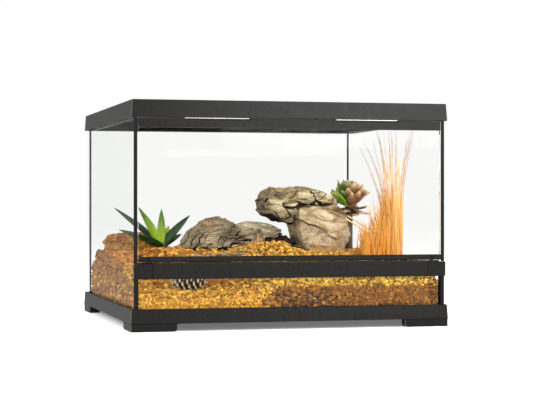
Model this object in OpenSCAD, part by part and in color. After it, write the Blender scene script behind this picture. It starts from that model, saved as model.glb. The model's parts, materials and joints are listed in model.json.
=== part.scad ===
// Front-opening reptile terrarium: a framed glass tank with a drop-down door,
// a lift-off screen lid and a planted bed of loose bedding.
// Millimetres, +Z up, the front faces -Y, origin on the floor under the middle.

/* [Glass box] */
// Width of the glass box over both side panes
tank_w = 452; // [446:1:600]
// Depth of the glass box from the side panes' front edges to the rear pane
tank_d = 452; // [430:1:600]
// Height of the tank from the floor to the top frame's upper edge
tank_h = 320; // [316:1:450]
// Thickness of the fixed panes
pane_t = 5; // [4:0.5:6]
// Height of the low front pane's top edge
front_pane_top = 78; // [74:1:100]
// Sealant joint between the edge of one pane and the face of the next
seal_gap = 1; // [0.6:0.1:1.5]
// Leg of the sealant bead in the upright corners
bead_leg = 2.5; // [1.5:0.5:5]
// Thickness of the dark strip on the front edge of each side pane
edge_trim_t = 0.8; // [0.5:0.1:1.2]

/* [Base frame] */
// Height of the base frame's upper edge
base_top = 31.5; // [29:0.5:45]
// Height of the feet below the base frame
foot_h = 11; // [8:0.5:14]
// Length of each arm of a foot
foot_l = 65; // [40:1:110]
// Thickness of each arm of a foot
foot_t = 16; // [10:1:30]
// Radius at the lower end of each arm of a foot
foot_r = 5; // [2:0.5:7]
// How far the base frame stands out from the panes at its lower edge
base_out_low = 4.9; // [4:0.1:8]
// How far the base frame stands out from the panes at its upper edge
base_out_top = 3.6; // [3:0.1:3.9]
// Height of the ledge that carries the panes
ledge_z = 18.5; // [17:0.5:22]
// Thickness of the ledge
ledge_t = 2.5; // [2:0.5:3]
// Width of the ledge from the panes' outer faces inwards
ledge_w = 20; // [14:1:40]

/* [Top frame] */
// Height of the top frame
top_h = 24.5; // [22:0.5:35]
// How far the top frame stands out from the panes at its lower edge
top_out_low = 3.95; // [3:0.05:6]
// How far the top frame stands out from the panes at its upper edge
top_out_high = 2.45; // [1.5:0.05:2.9]
// Thickness of the top frame's skirt at its upper edge
top_wall = 3; // [2.6:0.1:5]
// Width of the flange from the panes' outer faces inwards
flange_w = 15; // [13:0.5:25]
// Thickness of the flange
flange_t = 4; // [3.5:0.5:6]
// Depth of the groove that takes the panes' upper edges
groove_depth = 2; // [1:0.5:2.5]
// Clearance on each side of a pane in its groove
groove_gap = 0.25; // [0.1:0.05:0.4]
// Thickness of the inner wall that the lid rests on
seat_wall = 2; // [1.5:0.5:3]
// How far the lid's seat lies below the frame's upper edge
lid_recess = 8.5; // [8:0.5:10]

/* [Cable inlets] */
// Distance from the side pane's outer face to the middle of each inlet
inlet_from_side = 61; // [56:1:100]
// Width of each inlet
inlet_w = 30; // [20:1:44]
// Height of each inlet
inlet_h = 9; // [6:0.5:10]
// Sill between the flange and the inlet
inlet_sill = 1.5; // [1:0.5:2]
// How far the gate laps the inlet at each end
gate_lap = 4; // [2:0.5:8]
// Thickness of the gate
gate_t = 2.4; // [1.6:0.2:3]
// Width of the gate's thumb tab
gate_tab_w = 3; // [2:0.5:6]
// Clearance round the gate
gate_gap = 0.3; // [0.2:0.05:0.5]

/* [Lid] */
// Width of the lid frame's bars
lid_bar_w = 16; // [14:0.5:24]
// Height of the lid frame's bars
lid_bar_h = 5; // [4.5:0.1:5.4]
// Clearance between the lid and the top frame's skirt
lid_gap = 1; // [0.5:0.1:1.5]
// Clearance between the lid and its seat
lid_rest_gap = 0.2; // [0.1:0.05:0.3]
// Depth of the step that holds the screen
rebate_depth = 2.4; // [2:0.1:3]
// Width of the step that holds the screen
rebate_w = 5; // [3.5:0.5:6]
// Thickness of the screen where two wires cross
screen_t = 1; // [0.6:0.1:1.2]
// Width of a screen wire
wire_w = 1.2; // [0.8:0.1:2]
// Gaps in the screen along each side
screen_gaps = 17; // [8:1:17]
// Width of the cord that wedges the screen in
spline_w = 3.6; // [3:0.1:4]

/* [Lid latches] */
// Length of each latch along the lid's edge
latch_l = 24; // [16:1:60]
// Width of each latch across the lid's bar
latch_w = 11; // [8:0.5:12]
// Thickness of each latch
latch_t = 1.4; // [1.2:0.1:1.4]
// Travel of each latch
latch_travel = 2.8; // [2:0.1:2.8]
// Width of the guide beside each latch
guide_w = 2; // [1.5:0.5:4]
// Clearance round each latch
latch_gap = 0.25; // [0.15:0.05:0.3]

/* [Vent strip] */
// How far the strip laps down over the low front pane
strip_lap = 5.6; // [4:0.2:10]
// Height of the strip at its hinge blocks
strip_h = 20.9; // [18:0.1:30]
// Step from the hinge blocks up to the vent cover's top
cover_step = 2; // [1:0.1:3]
// How far the strip stands out from the pane
strip_out = 4.9; // [4.4:0.1:7]
// Wall of the vent cover
cover_wall = 1.8; // [1.4:0.1:2]
// Wall of the rail that sits on the front pane
rail_wall = 2; // [1.5:0.1:2.2]
// Length of each hinge block
block_l = 26.4; // [22:0.2:60]
// Joint between a hinge block and the vent cover
block_gap = 0.5; // [0.3:0.1:1]
// Distance between two vent slots
slot_pitch = 8; // [6:0.5:20]
// Width of a vent slot
slot_w = 3; // [2:0.5:4]
// Height of a vent slot
slot_h = 9; // [5:0.5:10]

/* [Door] */
// Thickness of the door's glass
door_glass_t = 4; // [3:0.5:5]
// Gap between the door and each side pane
door_side_gap = 1.5; // [1:0.1:3]
// Radius of the door's bottom rail round its pivot
knuckle_r = 2.5; // [2.3:0.1:3]
// Gap between the vent cover and the door's bottom rail
door_bottom_gap = 0.5; // [0.4:0.1:1]
// Height of the door's bottom rail above its pivot
bottom_rail_rise = 5.2; // [4.8:0.1:9]
// Gap between the door's top rail and the top frame
door_top_gap = 1.2; // [1:0.1:2]
// Height of the door's top rail
top_rail_h = 12.8; // [12:0.1:20]
// How far the top rail stands in front of the panes' edges
top_rail_out = 3.4; // [2.6:0.1:3.6]
// How far the rails reach behind the panes' front edges
rail_back = 4.8; // [4.8:0.1:7]
// Setback of the door's glass behind the pivot
glass_setback = 1.1; // [0.9:0.1:1.6]
// Radius of the hinge pins
pin_r = 1; // [0.8:0.05:1.1]
// Length of the hinge pins
pin_l = 16; // [12:0.5:20]
// Running clearance round the hinge pins
pin_clear = 0.05; // [0.02:0.01:0.09]
// Radius of the hinge block's lug
lug_r = 2; // [1.9:0.05:2.1]
// Width of the hinge block's lug
lug_w = 4; // [3:0.5:6]
// Distance from the door's end to the middle of the lug
lug_inset = 13.5; // [12:0.5:16]
// Clearance round the lug
lug_gap = 0.3; // [0.2:0.05:0.35]

/* [Door catch] */
// Distance from the middle of the door to the middle of each keeper
keeper_x = 109; // [70:1:150]
// Length of each keeper
keeper_l = 91; // [30:1:110]
// Thickness of each keeper
keeper_t = 1.2; // [0.8:0.1:1.2]
// Drop of the keeper's upright leg behind the rail
keeper_drop = 11.5; // [6:0.5:12]
// Depth of the notch in the top rail below each keeper
notch_depth = 1.7; // [1:0.1:2]
// Clearance at each end of a keeper
keeper_gap = 0.5; // [0.3:0.1:1]
// Gap between the magnets and the keepers
magnet_gap = 0.2; // [0.2:0.05:0.4]
// Radius of the magnets
magnet_r = 2.5; // [1.5:0.1:2.5]
// Thickness of the magnets
magnet_t = 1.5; // [1:0.1:1.5]

/* [Bedding] */
// Clearance between the bed and the glass
bed_gap = 0.4; // [0.3:0.1:1]
// Steps of the bed's surface along each side
bed_steps = 40; // [36:1:44]
// Distance over which the bed rises round a piece that rests in it
seat_blend = 14; // [8:1:30]
// Height of the small ripples in the bed's surface
bed_ripple = 1; // [0:0.1:1]

/* [Rocks and wood] */
// Distance of the weathered log's left end from the left pane
log_from_left = 95; // [92:1:110]
// Distance of the weathered log's middle from the front pane
log_from_front = 170; // [166:1:180]
// Gap along X between the log's right end and the boulder
log_gap = 20; // [18:1:26]
// Rise of the log's and the spiky plant's seats above the vent strip's lower edge
log_rise = 36; // [30:1:40]
// Distance of the boulder's right side from the right pane
boulder_from_right = 86; // [84:1:92]
// Distance of the boulder's middle from the front pane
boulder_from_front = 178; // [176:1:190]
// Rise of the boulder's seat above the vent strip's lower edge
boulder_rise = 30; // [26:1:36]
// Rise of the slab's underside above the vent strip's lower edge
slab_rise = 102; // [92:1:110]
// Distance of the bark mound's left end from the left pane
mound_from_left = 8; // [4:1:20]
// Distance of the bark mound's left end from the front pane
mound_from_front = 340; // [332:1:352]
// Rise of the bark mound's seat above the vent strip's lower edge
mound_rise = 28; // [22:1:34]
// Gap between the slab and the boulder's side
slab_gap = 0.5; // [0.4:0.1:1]
// Length of the boulder
boulder_l = 86; // [84:1:88]
// How far the slab stands out over the boulder's left side
slab_out = 48; // [46:1:49]

/* [Plants] */
// Distance of the spiky plant from the left pane
aloe_from_left = 74; // [73:1:78]
// Distance of the spiky plant from the front pane
aloe_from_front = 211; // [205:1:216]
// Length of the spiky plant's longest leaves
aloe_leaf_l = 98; // [60:1:100]
// Width of the spiky plant's leaves
aloe_leaf_w = 13; // [8:1:16]
// Distance of the rosette from the right pane
rosette_from_right = 61; // [55:1:64]
// Distance of the rosette from the front pane
rosette_from_front = 245; // [242:1:260]
// Length of the rosette's outer leaves
rosette_leaf_l = 37; // [24:1:38]
// Height of the rosette's stem
rosette_stem_h = 72; // [66:1:76]
// Distance of the grass tuft from the right pane
grass_from_right = 53; // [50:1:60]
// Distance of the grass tuft from the front pane
grass_from_front = 72; // [62:1:80]
// Radius of the grass tuft's stool
grass_stool_r = 18; // [12:1:20]
// Rise of the grass tuft's seat above the vent strip's lower edge
grass_rise = 26; // [20:1:28]
// Gap between the tallest blades of grass and the lid
grass_headroom = 24; // [16:1:60]
// Blades in the grass tuft
grass_blades = 32; // [20:1:40]
// Thickness of a blade of grass
blade_t = 1.6; // [1.2:0.1:2]

/* [Hidden] */
$fn = 48;

cut = 0.01;
big = 2000;

// inside faces of the glass box
in_w = tank_w - 2 * pane_t;
in_d = tank_d - 2 * pane_t;
front_y = -tank_d / 2;
rear_y = tank_d / 2;
side_x = tank_w / 2;
floor_z = ledge_z + pane_t;

// top frame levels
flange_z = tank_h - top_h;
flange_top = flange_z + flange_t;
pane_top = flange_z + groove_depth;
lid_seat_z = tank_h - lid_recess;
skirt_in_w = tank_w + 2 * top_out_high - 2 * top_wall;
skirt_in_d = tank_d + 2 * top_out_high - 2 * top_wall;
throat_w = tank_w - 2 * flange_w;
throat_d = tank_d - 2 * flange_w;

// vent strip levels
strip_z = front_pane_top - strip_lap;
block_top = strip_z + strip_h;
cover_top = block_top + cover_step;
strip_front_y = front_y - strip_out;
rail_back_y = front_y + pane_t;
rail_web_z = front_pane_top + rail_wall;
cover_half = side_x + 0.4 - block_l - block_gap;

// door levels
door_w = in_w - 2 * door_side_gap;
pivot_z = cover_top + door_bottom_gap + knuckle_r;
pivot_y = strip_front_y + 0.3 + knuckle_r;
bottom_rail_top = pivot_z + bottom_rail_rise;
top_rail_top = flange_z - door_top_gap;
top_rail_bottom = top_rail_top - top_rail_h;
rail_rear_y = front_y + rail_back;
glass_front_y = pivot_y + glass_setback;
glass_fit = 0.1;
lug_notch_top = pivot_z + lug_r + lug_gap;
door_glass_bottom = lug_notch_top + 0.2;
notch_floor_z = top_rail_top - notch_depth;
magnet_z = notch_floor_z - magnet_r - 0.8;
door_glass_top = magnet_z - magnet_r - 0.8;
lug_x = door_w / 2 - lug_inset;

// lid levels
lid_z = lid_seat_z + lid_rest_gap;
lid_w = skirt_in_w - 2 * lid_gap;
lid_d = skirt_in_d - 2 * lid_gap;
lid_top = lid_z + lid_bar_h;
lid_hole_w = lid_w - 2 * lid_bar_w;
lid_hole_d = lid_d - 2 * lid_bar_w;
rebate_z = lid_top - rebate_depth;
screen_fit = 0.3;
wire_gap = 0.05;

// gates
inlet_x = side_x - inlet_from_side;
gate_travel = inlet_w - 2 * gate_tab_w;
gate_z = flange_top + gate_gap;
gate_h = inlet_h + 2 * inlet_sill - gate_gap;
inlet_z = flange_top + inlet_sill;

// bed levels are heights above or below the vent strip's lower edge
function level(rise) = strip_z + rise;
function left_at(d) = -in_w / 2 + d;
function right_at(d) = in_w / 2 - d;
function front_at(d) = -in_d / 2 + d;

// places of what stands on the bed
mound_x = left_at(mound_from_left);
mound_y = front_at(mound_from_front);
log_x = left_at(log_from_left);
log_y = front_at(log_from_front);
boulder_x = right_at(boulder_from_right);
log_l = boulder_x - boulder_l - log_gap - log_x;
log_drawn_l = 155;
function log_at(d) = log_x + d * log_l / log_drawn_l;
boulder_y = front_at(boulder_from_front);
aloe_x = left_at(aloe_from_left);
aloe_y = front_at(aloe_from_front);
rosette_x = right_at(rosette_from_right);
rosette_y = front_at(rosette_from_front);
grass_x = right_at(grass_from_right);
grass_y = front_at(grass_from_front);
cone_x = left_at(85);
cone_y = front_at(52);
cone_rise = -20;
flake_x = left_at(105);
flake_y = front_at(112);
flake_rise = 26;
twig_x = left_at(203);
twig_y = front_at(128);

// a block with sloping sides, from a lower rectangle to an upper one
module drafted_block(w0, w1, d0, d1, z0, z1) {
    intersection() {
        translate([0, big / 2, 0]) rotate([90, 0, 0]) linear_extrude(big)
            polygon([[-w0 / 2, z0], [w0 / 2, z0], [w1 / 2, z1], [-w1 / 2, z1]]);
        translate([-big / 2, 0, 0]) rotate([90, 0, 90]) linear_extrude(big)
            polygon([[-d0 / 2, z0], [d0 / 2, z0], [d1 / 2, z1], [-d1 / 2, z1]]);
    }
}

// an upright block centred on the tank's axis
module block(w, d, z0, z1) {
    translate([-w / 2, -d / 2, z0]) cube([w, d, z1 - z0]);
}

// a block between two corners
module span(low, high) {
    translate(low) cube(high - low);
}

// a rod along X, centred on x
module rod_x(x, y, z, r, l) {
    translate([x - l / 2, y, z]) rotate([0, 90, 0]) cylinder(h = l, r = r);
}

module on_both_sides() {
    children();
    mirror([1, 0, 0]) children();
}

// one arm of a foot along X from a corner at the origin, its free end rounded below
module foot_arm() {
    difference() {
        cube([foot_l, foot_t, ledge_z - ledge_t]);
        translate([foot_l - foot_r, -cut, -cut]) cube([foot_r + cut, foot_t + 2 * cut, foot_r + cut]);
    }
    translate([foot_l - foot_r, 0, foot_r]) rotate([-90, 0, 0]) cylinder(h = foot_t, r = foot_r);
}

module base_frame() {
    skirt_w = tank_w + 2 * base_out_low;
    skirt_d = tank_d + 2 * base_out_low;
    foot_inset = 0.5;
    color([0.16, 0.16, 0.16]) {
        difference() {
            drafted_block(skirt_w, tank_w + 2 * base_out_top, skirt_d, tank_d + 2 * base_out_top,
                foot_h, base_top);
            block(tank_w, tank_d, ledge_z, base_top + 1);
            block(tank_w, tank_d, foot_h - 1, ledge_z - ledge_t);
            block(tank_w - 2 * ledge_w, tank_d - 2 * ledge_w, foot_h, base_top);
        }
        for (sx = [0, 1]) for (sy = [0, 1]) mirror([sx, 0, 0]) mirror([0, sy, 0])
            translate([-skirt_w / 2 + foot_inset, -skirt_d / 2 + foot_inset, 0]) {
                foot_arm();
                mirror([1, -1, 0]) foot_arm();
            }
    }
}

module bottom_glass() {
    color([0.75, 0.85, 0.8, 0.4])
        block(in_w - 2 * seal_gap, in_d - 2 * seal_gap, ledge_z, floor_z);
}

module side_pane() {
    color([0.75, 0.85, 0.8, 0.4])
        span([side_x - pane_t, front_y, ledge_z], [side_x, rear_y, pane_top]);
}

module left_glass() {
    mirror([1, 0, 0]) side_pane();
}

module right_glass() {
    side_pane();
}

// a pane across the tank between the side panes
module cross_pane(y, z1) {
    color([0.75, 0.85, 0.8, 0.4])
        span([-in_w / 2 + seal_gap, y, ledge_z], [in_w / 2 - seal_gap, y + pane_t, z1]);
}

module rear_glass() {
    cross_pane(rear_y - pane_t, pane_top);
}

module front_lower_glass() {
    cross_pane(front_y, front_pane_top);
}

module floor_seal() {
    color([0.1, 0.1, 0.1]) difference() {
        block(in_w, in_d, ledge_z, floor_z);
        block(in_w - 2 * seal_gap, in_d - 2 * seal_gap, ledge_z - 1, floor_z + 1);
    }
}

// sealant in the upright corner of a cross pane: the joint and a bead inside it
module corner_bead(y_out, y_in, z0, z1) {
    inward = sign(-y_in);
    color([0.05, 0.05, 0.05]) on_both_sides() translate([0, 0, z0]) linear_extrude(z1 - z0)
        polygon([
            [in_w / 2, y_out],
            [in_w / 2, y_in + inward * bead_leg],
            [in_w / 2 - bead_leg, y_in],
            [in_w / 2 - seal_gap, y_in],
            [in_w / 2 - seal_gap, y_out]
        ]);
}

module rear_corner_seals() {
    corner_bead(rear_y, rear_y - pane_t, floor_z, flange_z);
}

module front_corner_seals() {
    corner_bead(front_y, front_y + pane_t, floor_z, strip_z);
}

// dark strip on a side pane's front edge, interrupted by the vent strip
module edge_trim() {
    trim_gap = 0.2;
    color([0.04, 0.04, 0.04]) for (zz = [[base_top, strip_z], [block_top, flange_z]])
        span([side_x - pane_t, front_y - edge_trim_t, zz[0] + trim_gap],
            [side_x, front_y, zz[1] - trim_gap]);
}

module edge_trim_left() {
    mirror([1, 0, 0]) edge_trim();
}

module edge_trim_right() {
    edge_trim();
}

// channel over the low front pane with a slotted wall behind the vent cover
module vent_rail() {
    half = in_w / 2 - 0.5;
    wall_top = block_top + 1.7;
    slots = floor((2 * cover_half - 20) / slot_pitch);
    slot_z = rail_web_z + (wall_top - rail_web_z - slot_h) / 2;
    color([0.15, 0.15, 0.15]) {
        span([-cover_half, front_y - rail_wall, strip_z], [cover_half, front_y, rail_web_z]);
        difference() {
            span([-half, rail_back_y, strip_z], [half, rail_back_y + rail_wall, wall_top]);
            for (i = [0 : slots - 1]) translate([(i - (slots - 1) / 2) * slot_pitch, 0, slot_z])
                span([-slot_w / 2, rail_back_y - 1, 0], [slot_w / 2, rail_back_y + rail_wall + 1, slot_h]);
        }
        span([-cover_half, front_y - cut, front_pane_top], [cover_half, rail_back_y + cut, rail_web_z]);
    }
}

// cover in front of the slots, open along its lower edge, with a rounded upper edge
module vent_cover() {
    round_r = cover_wall;
    rib_w = 2;
    ribs = 5;
    top_back_y = rail_back_y - 0.3;
    color([0.17, 0.17, 0.17]) {
        span([-cover_half, strip_front_y, strip_z], [cover_half, strip_front_y + cover_wall, cover_top - round_r]);
        span([-cover_half, strip_front_y + round_r, cover_top - cover_wall], [cover_half, top_back_y, cover_top]);
        rod_x(0, strip_front_y + round_r, cover_top - round_r, round_r, 2 * cover_half);
        for (i = [0 : ribs - 1]) {
            x = (i - (ribs - 1) / 2) * (2 * cover_half - rib_w) / (ribs - 1);
            span([x - rib_w / 2, strip_front_y + cover_wall - cut, strip_z + 2],
                [x + rib_w / 2, front_y - rail_wall, cover_top - cover_wall + cut]);
            span([x - rib_w / 2, front_y - rail_wall - cut, rail_web_z],
                [x + rib_w / 2, top_back_y, cover_top - cover_wall + cut]);
        }
    }
}

// block at the end of the vent strip, with the lug that carries the door
module hinge_block() {
    x0 = cover_half + block_gap;
    x1 = x0 + block_l;
    pane_clear = 0.2;
    inner_x1 = in_w / 2 - 0.5;
    color([0.18, 0.18, 0.18]) difference() {
        union() {
            span([x0, strip_front_y, strip_z], [x1, front_y - pane_clear, block_top]);
            span([x0, front_y - pane_clear - cut, front_pane_top + pane_clear],
                [inner_x1, rail_back_y - pane_clear, block_top]);
            rod_x(lug_x, pivot_y, pivot_z, lug_r, lug_w);
            span([lug_x - lug_w / 2, pivot_y - lug_r, block_top - cut],
                [lug_x + lug_w / 2, pivot_y + lug_r, pivot_z]);
        }
        rod_x(lug_x, pivot_y, pivot_z, pin_r + pin_clear, lug_w + 2);
    }
}

module hinge_block_left() {
    mirror([1, 0, 0]) hinge_block();
}

module hinge_block_right() {
    hinge_block();
}

module hinge_pins() {
    color([0.75, 0.75, 0.75]) on_both_sides() rod_x(lug_x, pivot_y, pivot_z, pin_r, pin_l);
}

module door_glass() {
    color([0.75, 0.85, 0.8, 0.35])
        span([-door_w / 2, glass_front_y, door_glass_bottom],
            [door_w / 2, glass_front_y + door_glass_t, door_glass_top]);
}

// slot in a door rail for the glass
module glass_groove(z0, z1) {
    span([-door_w / 2 - 1, glass_front_y - glass_fit, z0],
        [door_w / 2 + 1, glass_front_y + door_glass_t + glass_fit, z1]);
}

module door_bottom_rail() {
    half = door_w / 2;
    fix_clear = 0.02;
    color([0.17, 0.17, 0.17]) difference() {
        union() {
            rod_x(0, pivot_y, pivot_z, knuckle_r, door_w);
            span([-half, pivot_y - knuckle_r, pivot_z], [half, rail_rear_y, bottom_rail_top]);
            span([-half, pivot_y, pivot_z - knuckle_r], [half, rail_rear_y, pivot_z + cut]);
        }
        glass_groove(door_glass_bottom, bottom_rail_top + 1);
        on_both_sides() {
            rod_x(lug_x, pivot_y, pivot_z, pin_r + fix_clear, pin_l);
            span([lug_x - lug_w / 2 - lug_gap, pivot_y - knuckle_r - 1, pivot_z - knuckle_r - 1],
                [lug_x + lug_w / 2 + lug_gap, pivot_y + lug_r + lug_gap, lug_notch_top]);
        }
    }
}

module door_top_rail() {
    half = door_w / 2;
    color([0.17, 0.17, 0.17]) difference() {
        span([-half, front_y - top_rail_out, top_rail_bottom], [half, rail_rear_y, top_rail_top]);
        glass_groove(top_rail_bottom - 1, door_glass_top);
        on_both_sides() {
            span([keeper_x - keeper_l / 2 - keeper_gap, front_y - top_rail_out - 1, notch_floor_z],
                [keeper_x + keeper_l / 2 + keeper_gap, rail_rear_y + 1, top_rail_top + 1]);
            translate([keeper_x, rail_rear_y - magnet_t, magnet_z]) rotate([-90, 0, 0])
                cylinder(h = magnet_t + 1, r = magnet_r + 0.05);
        }
    }
}

module door_magnets() {
    color([0.7, 0.7, 0.72]) on_both_sides()
        translate([keeper_x, rail_rear_y - magnet_t, magnet_z]) rotate([-90, 0, 0])
            cylinder(h = magnet_t, r = magnet_r);
}

// steel angles under the top frame that the magnets hold to
module door_keepers() {
    leg_y = rail_rear_y + magnet_gap;
    keeper_front_y = front_y - 2.2;
    color([0.8, 0.8, 0.78]) on_both_sides() {
        span([keeper_x - keeper_l / 2, keeper_front_y, flange_z - keeper_t],
            [keeper_x + keeper_l / 2, leg_y + keeper_t, flange_z]);
        span([keeper_x - keeper_l / 2, leg_y, flange_z - keeper_drop],
            [keeper_x + keeper_l / 2, leg_y + keeper_t, flange_z]);
    }
}

// window through the rear skirt, and a notch in the seat wall in front of it
module inlet_cuts() {
    on_both_sides() {
        span([inlet_x - inlet_w / 2, skirt_in_d / 2 - 1, inlet_z],
            [inlet_x + inlet_w / 2, rear_y + top_out_low + 1, inlet_z + inlet_h]);
        span([inlet_x - inlet_w / 2, throat_d / 2 - 1, flange_top],
            [inlet_x + inlet_w / 2, throat_d / 2 + seat_wall + 1, lid_seat_z + 1]);
    }
}

// low rib that keeps each gate against the rear skirt
module gate_runners() {
    rib_t = 1.2;
    rib_h = 3;
    rib_y = skirt_in_d / 2 - gate_t - 2 * gate_gap;
    on_both_sides()
        span([inlet_x - inlet_w / 2 - gate_lap - gate_travel, rib_y - rib_t, flange_top - cut],
            [inlet_x + inlet_w / 2 + gate_lap, rib_y, flange_top + rib_h]);
}

module top_frame() {
    groove_out = side_x + groove_gap;
    groove_in = side_x - pane_t - groove_gap;
    pocket_l = latch_l + 2 * latch_gap;
    pocket_x = lid_w / 2 + latch_travel + 0.2;
    color([0.17, 0.17, 0.16]) {
        difference() {
            drafted_block(tank_w + 2 * top_out_low, tank_w + 2 * top_out_high,
                tank_d + 2 * top_out_low, tank_d + 2 * top_out_high, flange_z, tank_h);
            block(skirt_in_w, skirt_in_d, flange_top, tank_h + 1);
            block(throat_w, throat_d, flange_z - 1, tank_h);
            on_both_sides() span([groove_in, front_y - groove_gap, flange_z - 1],
                [groove_out, rear_y + groove_gap, pane_top]);
            span([-side_x, rear_y - pane_t - groove_gap, flange_z - 1],
                [side_x, rear_y + groove_gap, pane_top]);
            inlet_cuts();
            on_both_sides() span([0, -pocket_l / 2, lid_top],
                [pocket_x, pocket_l / 2, lid_top + latch_t + 2 * latch_gap]);
        }
        difference() {
            block(throat_w + 2 * seat_wall, throat_d + 2 * seat_wall, flange_top - cut, lid_seat_z);
            block(throat_w, throat_d, flange_z, lid_seat_z + 1);
            inlet_cuts();
        }
        gate_runners();
    }
}

module lid_frame() {
    guide_reach = 1;
    guide_h = latch_t + 2 * latch_gap;
    cap_t = 0.9;
    guide_x1 = lid_w / 2;
    guide_x0 = guide_x1 - latch_w;
    color([0.12, 0.12, 0.12]) {
        difference() {
            block(lid_w, lid_d, lid_z, lid_top);
            block(lid_hole_w, lid_hole_d, lid_z - 1, lid_top + 1);
            block(lid_hole_w + 2 * rebate_w, lid_hole_d + 2 * rebate_w, rebate_z, lid_top + 1);
        }
        on_both_sides() for (side = [0, 1]) mirror([0, side, 0]) {
            span([guide_x0, latch_l / 2 + latch_gap, lid_top - cut],
                [guide_x1, latch_l / 2 + latch_gap + guide_w, lid_top + guide_h + cap_t]);
            span([guide_x0, latch_l / 2 - guide_reach, lid_top + guide_h],
                [guide_x1, latch_l / 2 + latch_gap + guide_w, lid_top + guide_h + cap_t]);
        }
    }
}

// wires in two crossing layers, each wire a solid of its own
module lid_screen() {
    half_w = lid_hole_w / 2 + rebate_w - screen_fit;
    half_d = lid_hole_d / 2 + rebate_w - screen_fit;
    layer = (screen_t - wire_gap) / 2;
    color([0.3, 0.3, 0.3]) {
        for (i = [0 : screen_gaps]) {
            x = (i / screen_gaps - 0.5) * (2 * half_w - wire_w);
            span([x - wire_w / 2, -half_d, rebate_z], [x + wire_w / 2, half_d, rebate_z + layer]);
        }
        for (i = [0 : screen_gaps]) {
            y = (i / screen_gaps - 0.5) * (2 * half_d - wire_w);
            span([-half_w, y - wire_w / 2, rebate_z + screen_t - layer],
                [half_w, y + wire_w / 2, rebate_z + screen_t]);
        }
    }
}

module screen_spline() {
    outer_w = lid_hole_w + 2 * rebate_w - 2 * screen_fit;
    outer_d = lid_hole_d + 2 * rebate_w - 2 * screen_fit;
    color([0.06, 0.06, 0.06]) difference() {
        block(outer_w, outer_d, rebate_z + screen_t, lid_top);
        block(outer_w - 2 * spline_w, outer_d - 2 * spline_w, rebate_z, lid_top + 1);
    }
}

// sliding latch on the lid: it goes into a pocket in the skirt when pushed outwards
module lid_latch() {
    z0 = lid_top + latch_gap;
    x1 = lid_w / 2;
    knob_w = 3;
    knob_l = latch_l - 8;
    knob_h = 1.2;
    color([0.2, 0.2, 0.2]) {
        span([x1 - latch_w, -latch_l / 2, z0], [x1, latch_l / 2, z0 + latch_t]);
        span([x1 - latch_w + 1, -knob_l / 2, z0 + latch_t - cut],
            [x1 - latch_w + 1 + knob_w, knob_l / 2, z0 + latch_t + knob_h]);
    }
}

module lid_latch_left() {
    mirror([1, 0, 0]) lid_latch();
}

module lid_latch_right() {
    lid_latch();
}

// gate that closes a cable inlet; its tab stands in the window
module cable_gate() {
    x0 = inlet_x - inlet_w / 2 - gate_lap;
    x1 = inlet_x + inlet_w / 2 + gate_lap;
    y1 = skirt_in_d / 2 - gate_gap;
    tab_out = 2.5;
    color([0.2, 0.2, 0.2]) {
        span([x0, y1 - gate_t, gate_z], [x1, y1, gate_z + gate_h]);
        span([inlet_x + inlet_w / 2 - gate_tab_w - 0.5, y1 - cut, inlet_z + 1],
            [inlet_x + inlet_w / 2 - 0.5, y1 + tab_out, inlet_z + inlet_h - 1]);
    }
}

module cable_gate_left() {
    mirror([1, 0, 0]) cable_gate();
}

module cable_gate_right() {
    cable_gate();
}

// rises of the bed's surface at eight stations across the tank
function bed_row(y) = [
    [left_at(0), y[0]], [left_at(80), y[1]], [left_at(160), y[2]], [left_at(215), y[3]],
    [right_at(160), y[4]], [right_at(90), y[5]], [right_at(45), y[6]], [right_at(0), y[7]]
];

// rows from front to rear: distance from the front pane, then the rises
bed_rises = [
    [0, [-28, -32, -20, -8, -6, -12, -7, -2]],
    [70, [-10, -14, 12, 22, 24, 24, 28, 14]],
    [120, [6, 18, 34, 40, 38, 30, 32, 18]],
    [170, [12, 36, 38, 40, 34, 31, 32, 20]],
    [260, [22, 36, 42, 42, 40, 36, 32, 22]],
    [350, [28, 32, 40, 40, 38, 36, 30, 20]]
];
bed_rear_rises = [2, 8, 12, 14, 14, 12, 8, 2];

function bed_rise(x, y) = lookup(y, concat(
    [for (row = bed_rises) [front_at(row[0]), lookup(x, bed_row(row[1]))]],
    [[in_d / 2, lookup(x, bed_row(bed_rear_rises))]]));

// flat seats pressed into the bed: middle, half length, half depth and rise
function bed_seats() = [
    [mound_x + 45, mound_y - 24, 46, 64, mound_rise],
    [log_at(58), log_y + 2, 60 * log_l / log_drawn_l, 26, log_rise],
    [boulder_x - boulder_l / 2, boulder_y, boulder_l / 2 + 3, 49, boulder_rise],
    [aloe_x, aloe_y, 8, 8, log_rise],
    [rosette_x, rosette_y, 8, 8, boulder_rise],
    [grass_x, grass_y, grass_stool_r, grass_stool_r, grass_rise],
    [cone_x, cone_y + 2, 31, 25, cone_rise],
    [flake_x + 25, flake_y - 1, 26, 9, flake_rise],
    [twig_x, twig_y, 5, 5, log_rise]
];

// how far a point lies outside a seat, with one step of the surface to spare
function beyond_seat(x, y, seat, spare) =
    max(abs(x - seat[0]) - seat[2], abs(y - seat[1]) - seat[3], spare) - spare;

function bed_surface(x, y, spare) =
    let (seats = bed_seats(),
        away = [for (seat = seats) beyond_seat(x, y, seat, spare)],
        near = min(away),
        k = [for (i = [0 : len(away) - 1]) if (away[i] == near) i][0],
        ripple = bed_ripple * sin(x * 9 + y * 3) * sin(y * 7 - x * 2),
        open = min(1, near / seat_blend))
    level(seats[k][4] + open * (bed_rise(x, y) + ripple - seats[k][4]));

// corner of the bed's grid, drawn in from the sealant where it is a corner of the tank
function bed_corner(i, j, n) =
    let (w = in_w - 2 * bed_gap, d = in_d - 2 * bed_gap, c = 1 - (bead_leg + 1) / (w / 2),
        corner = (i == 0 || i == n) && (j == 0 || j == n) ? c : 1)
    [w * (i / n - 0.5) * corner, d * (j / n - 0.5) * corner];

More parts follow.
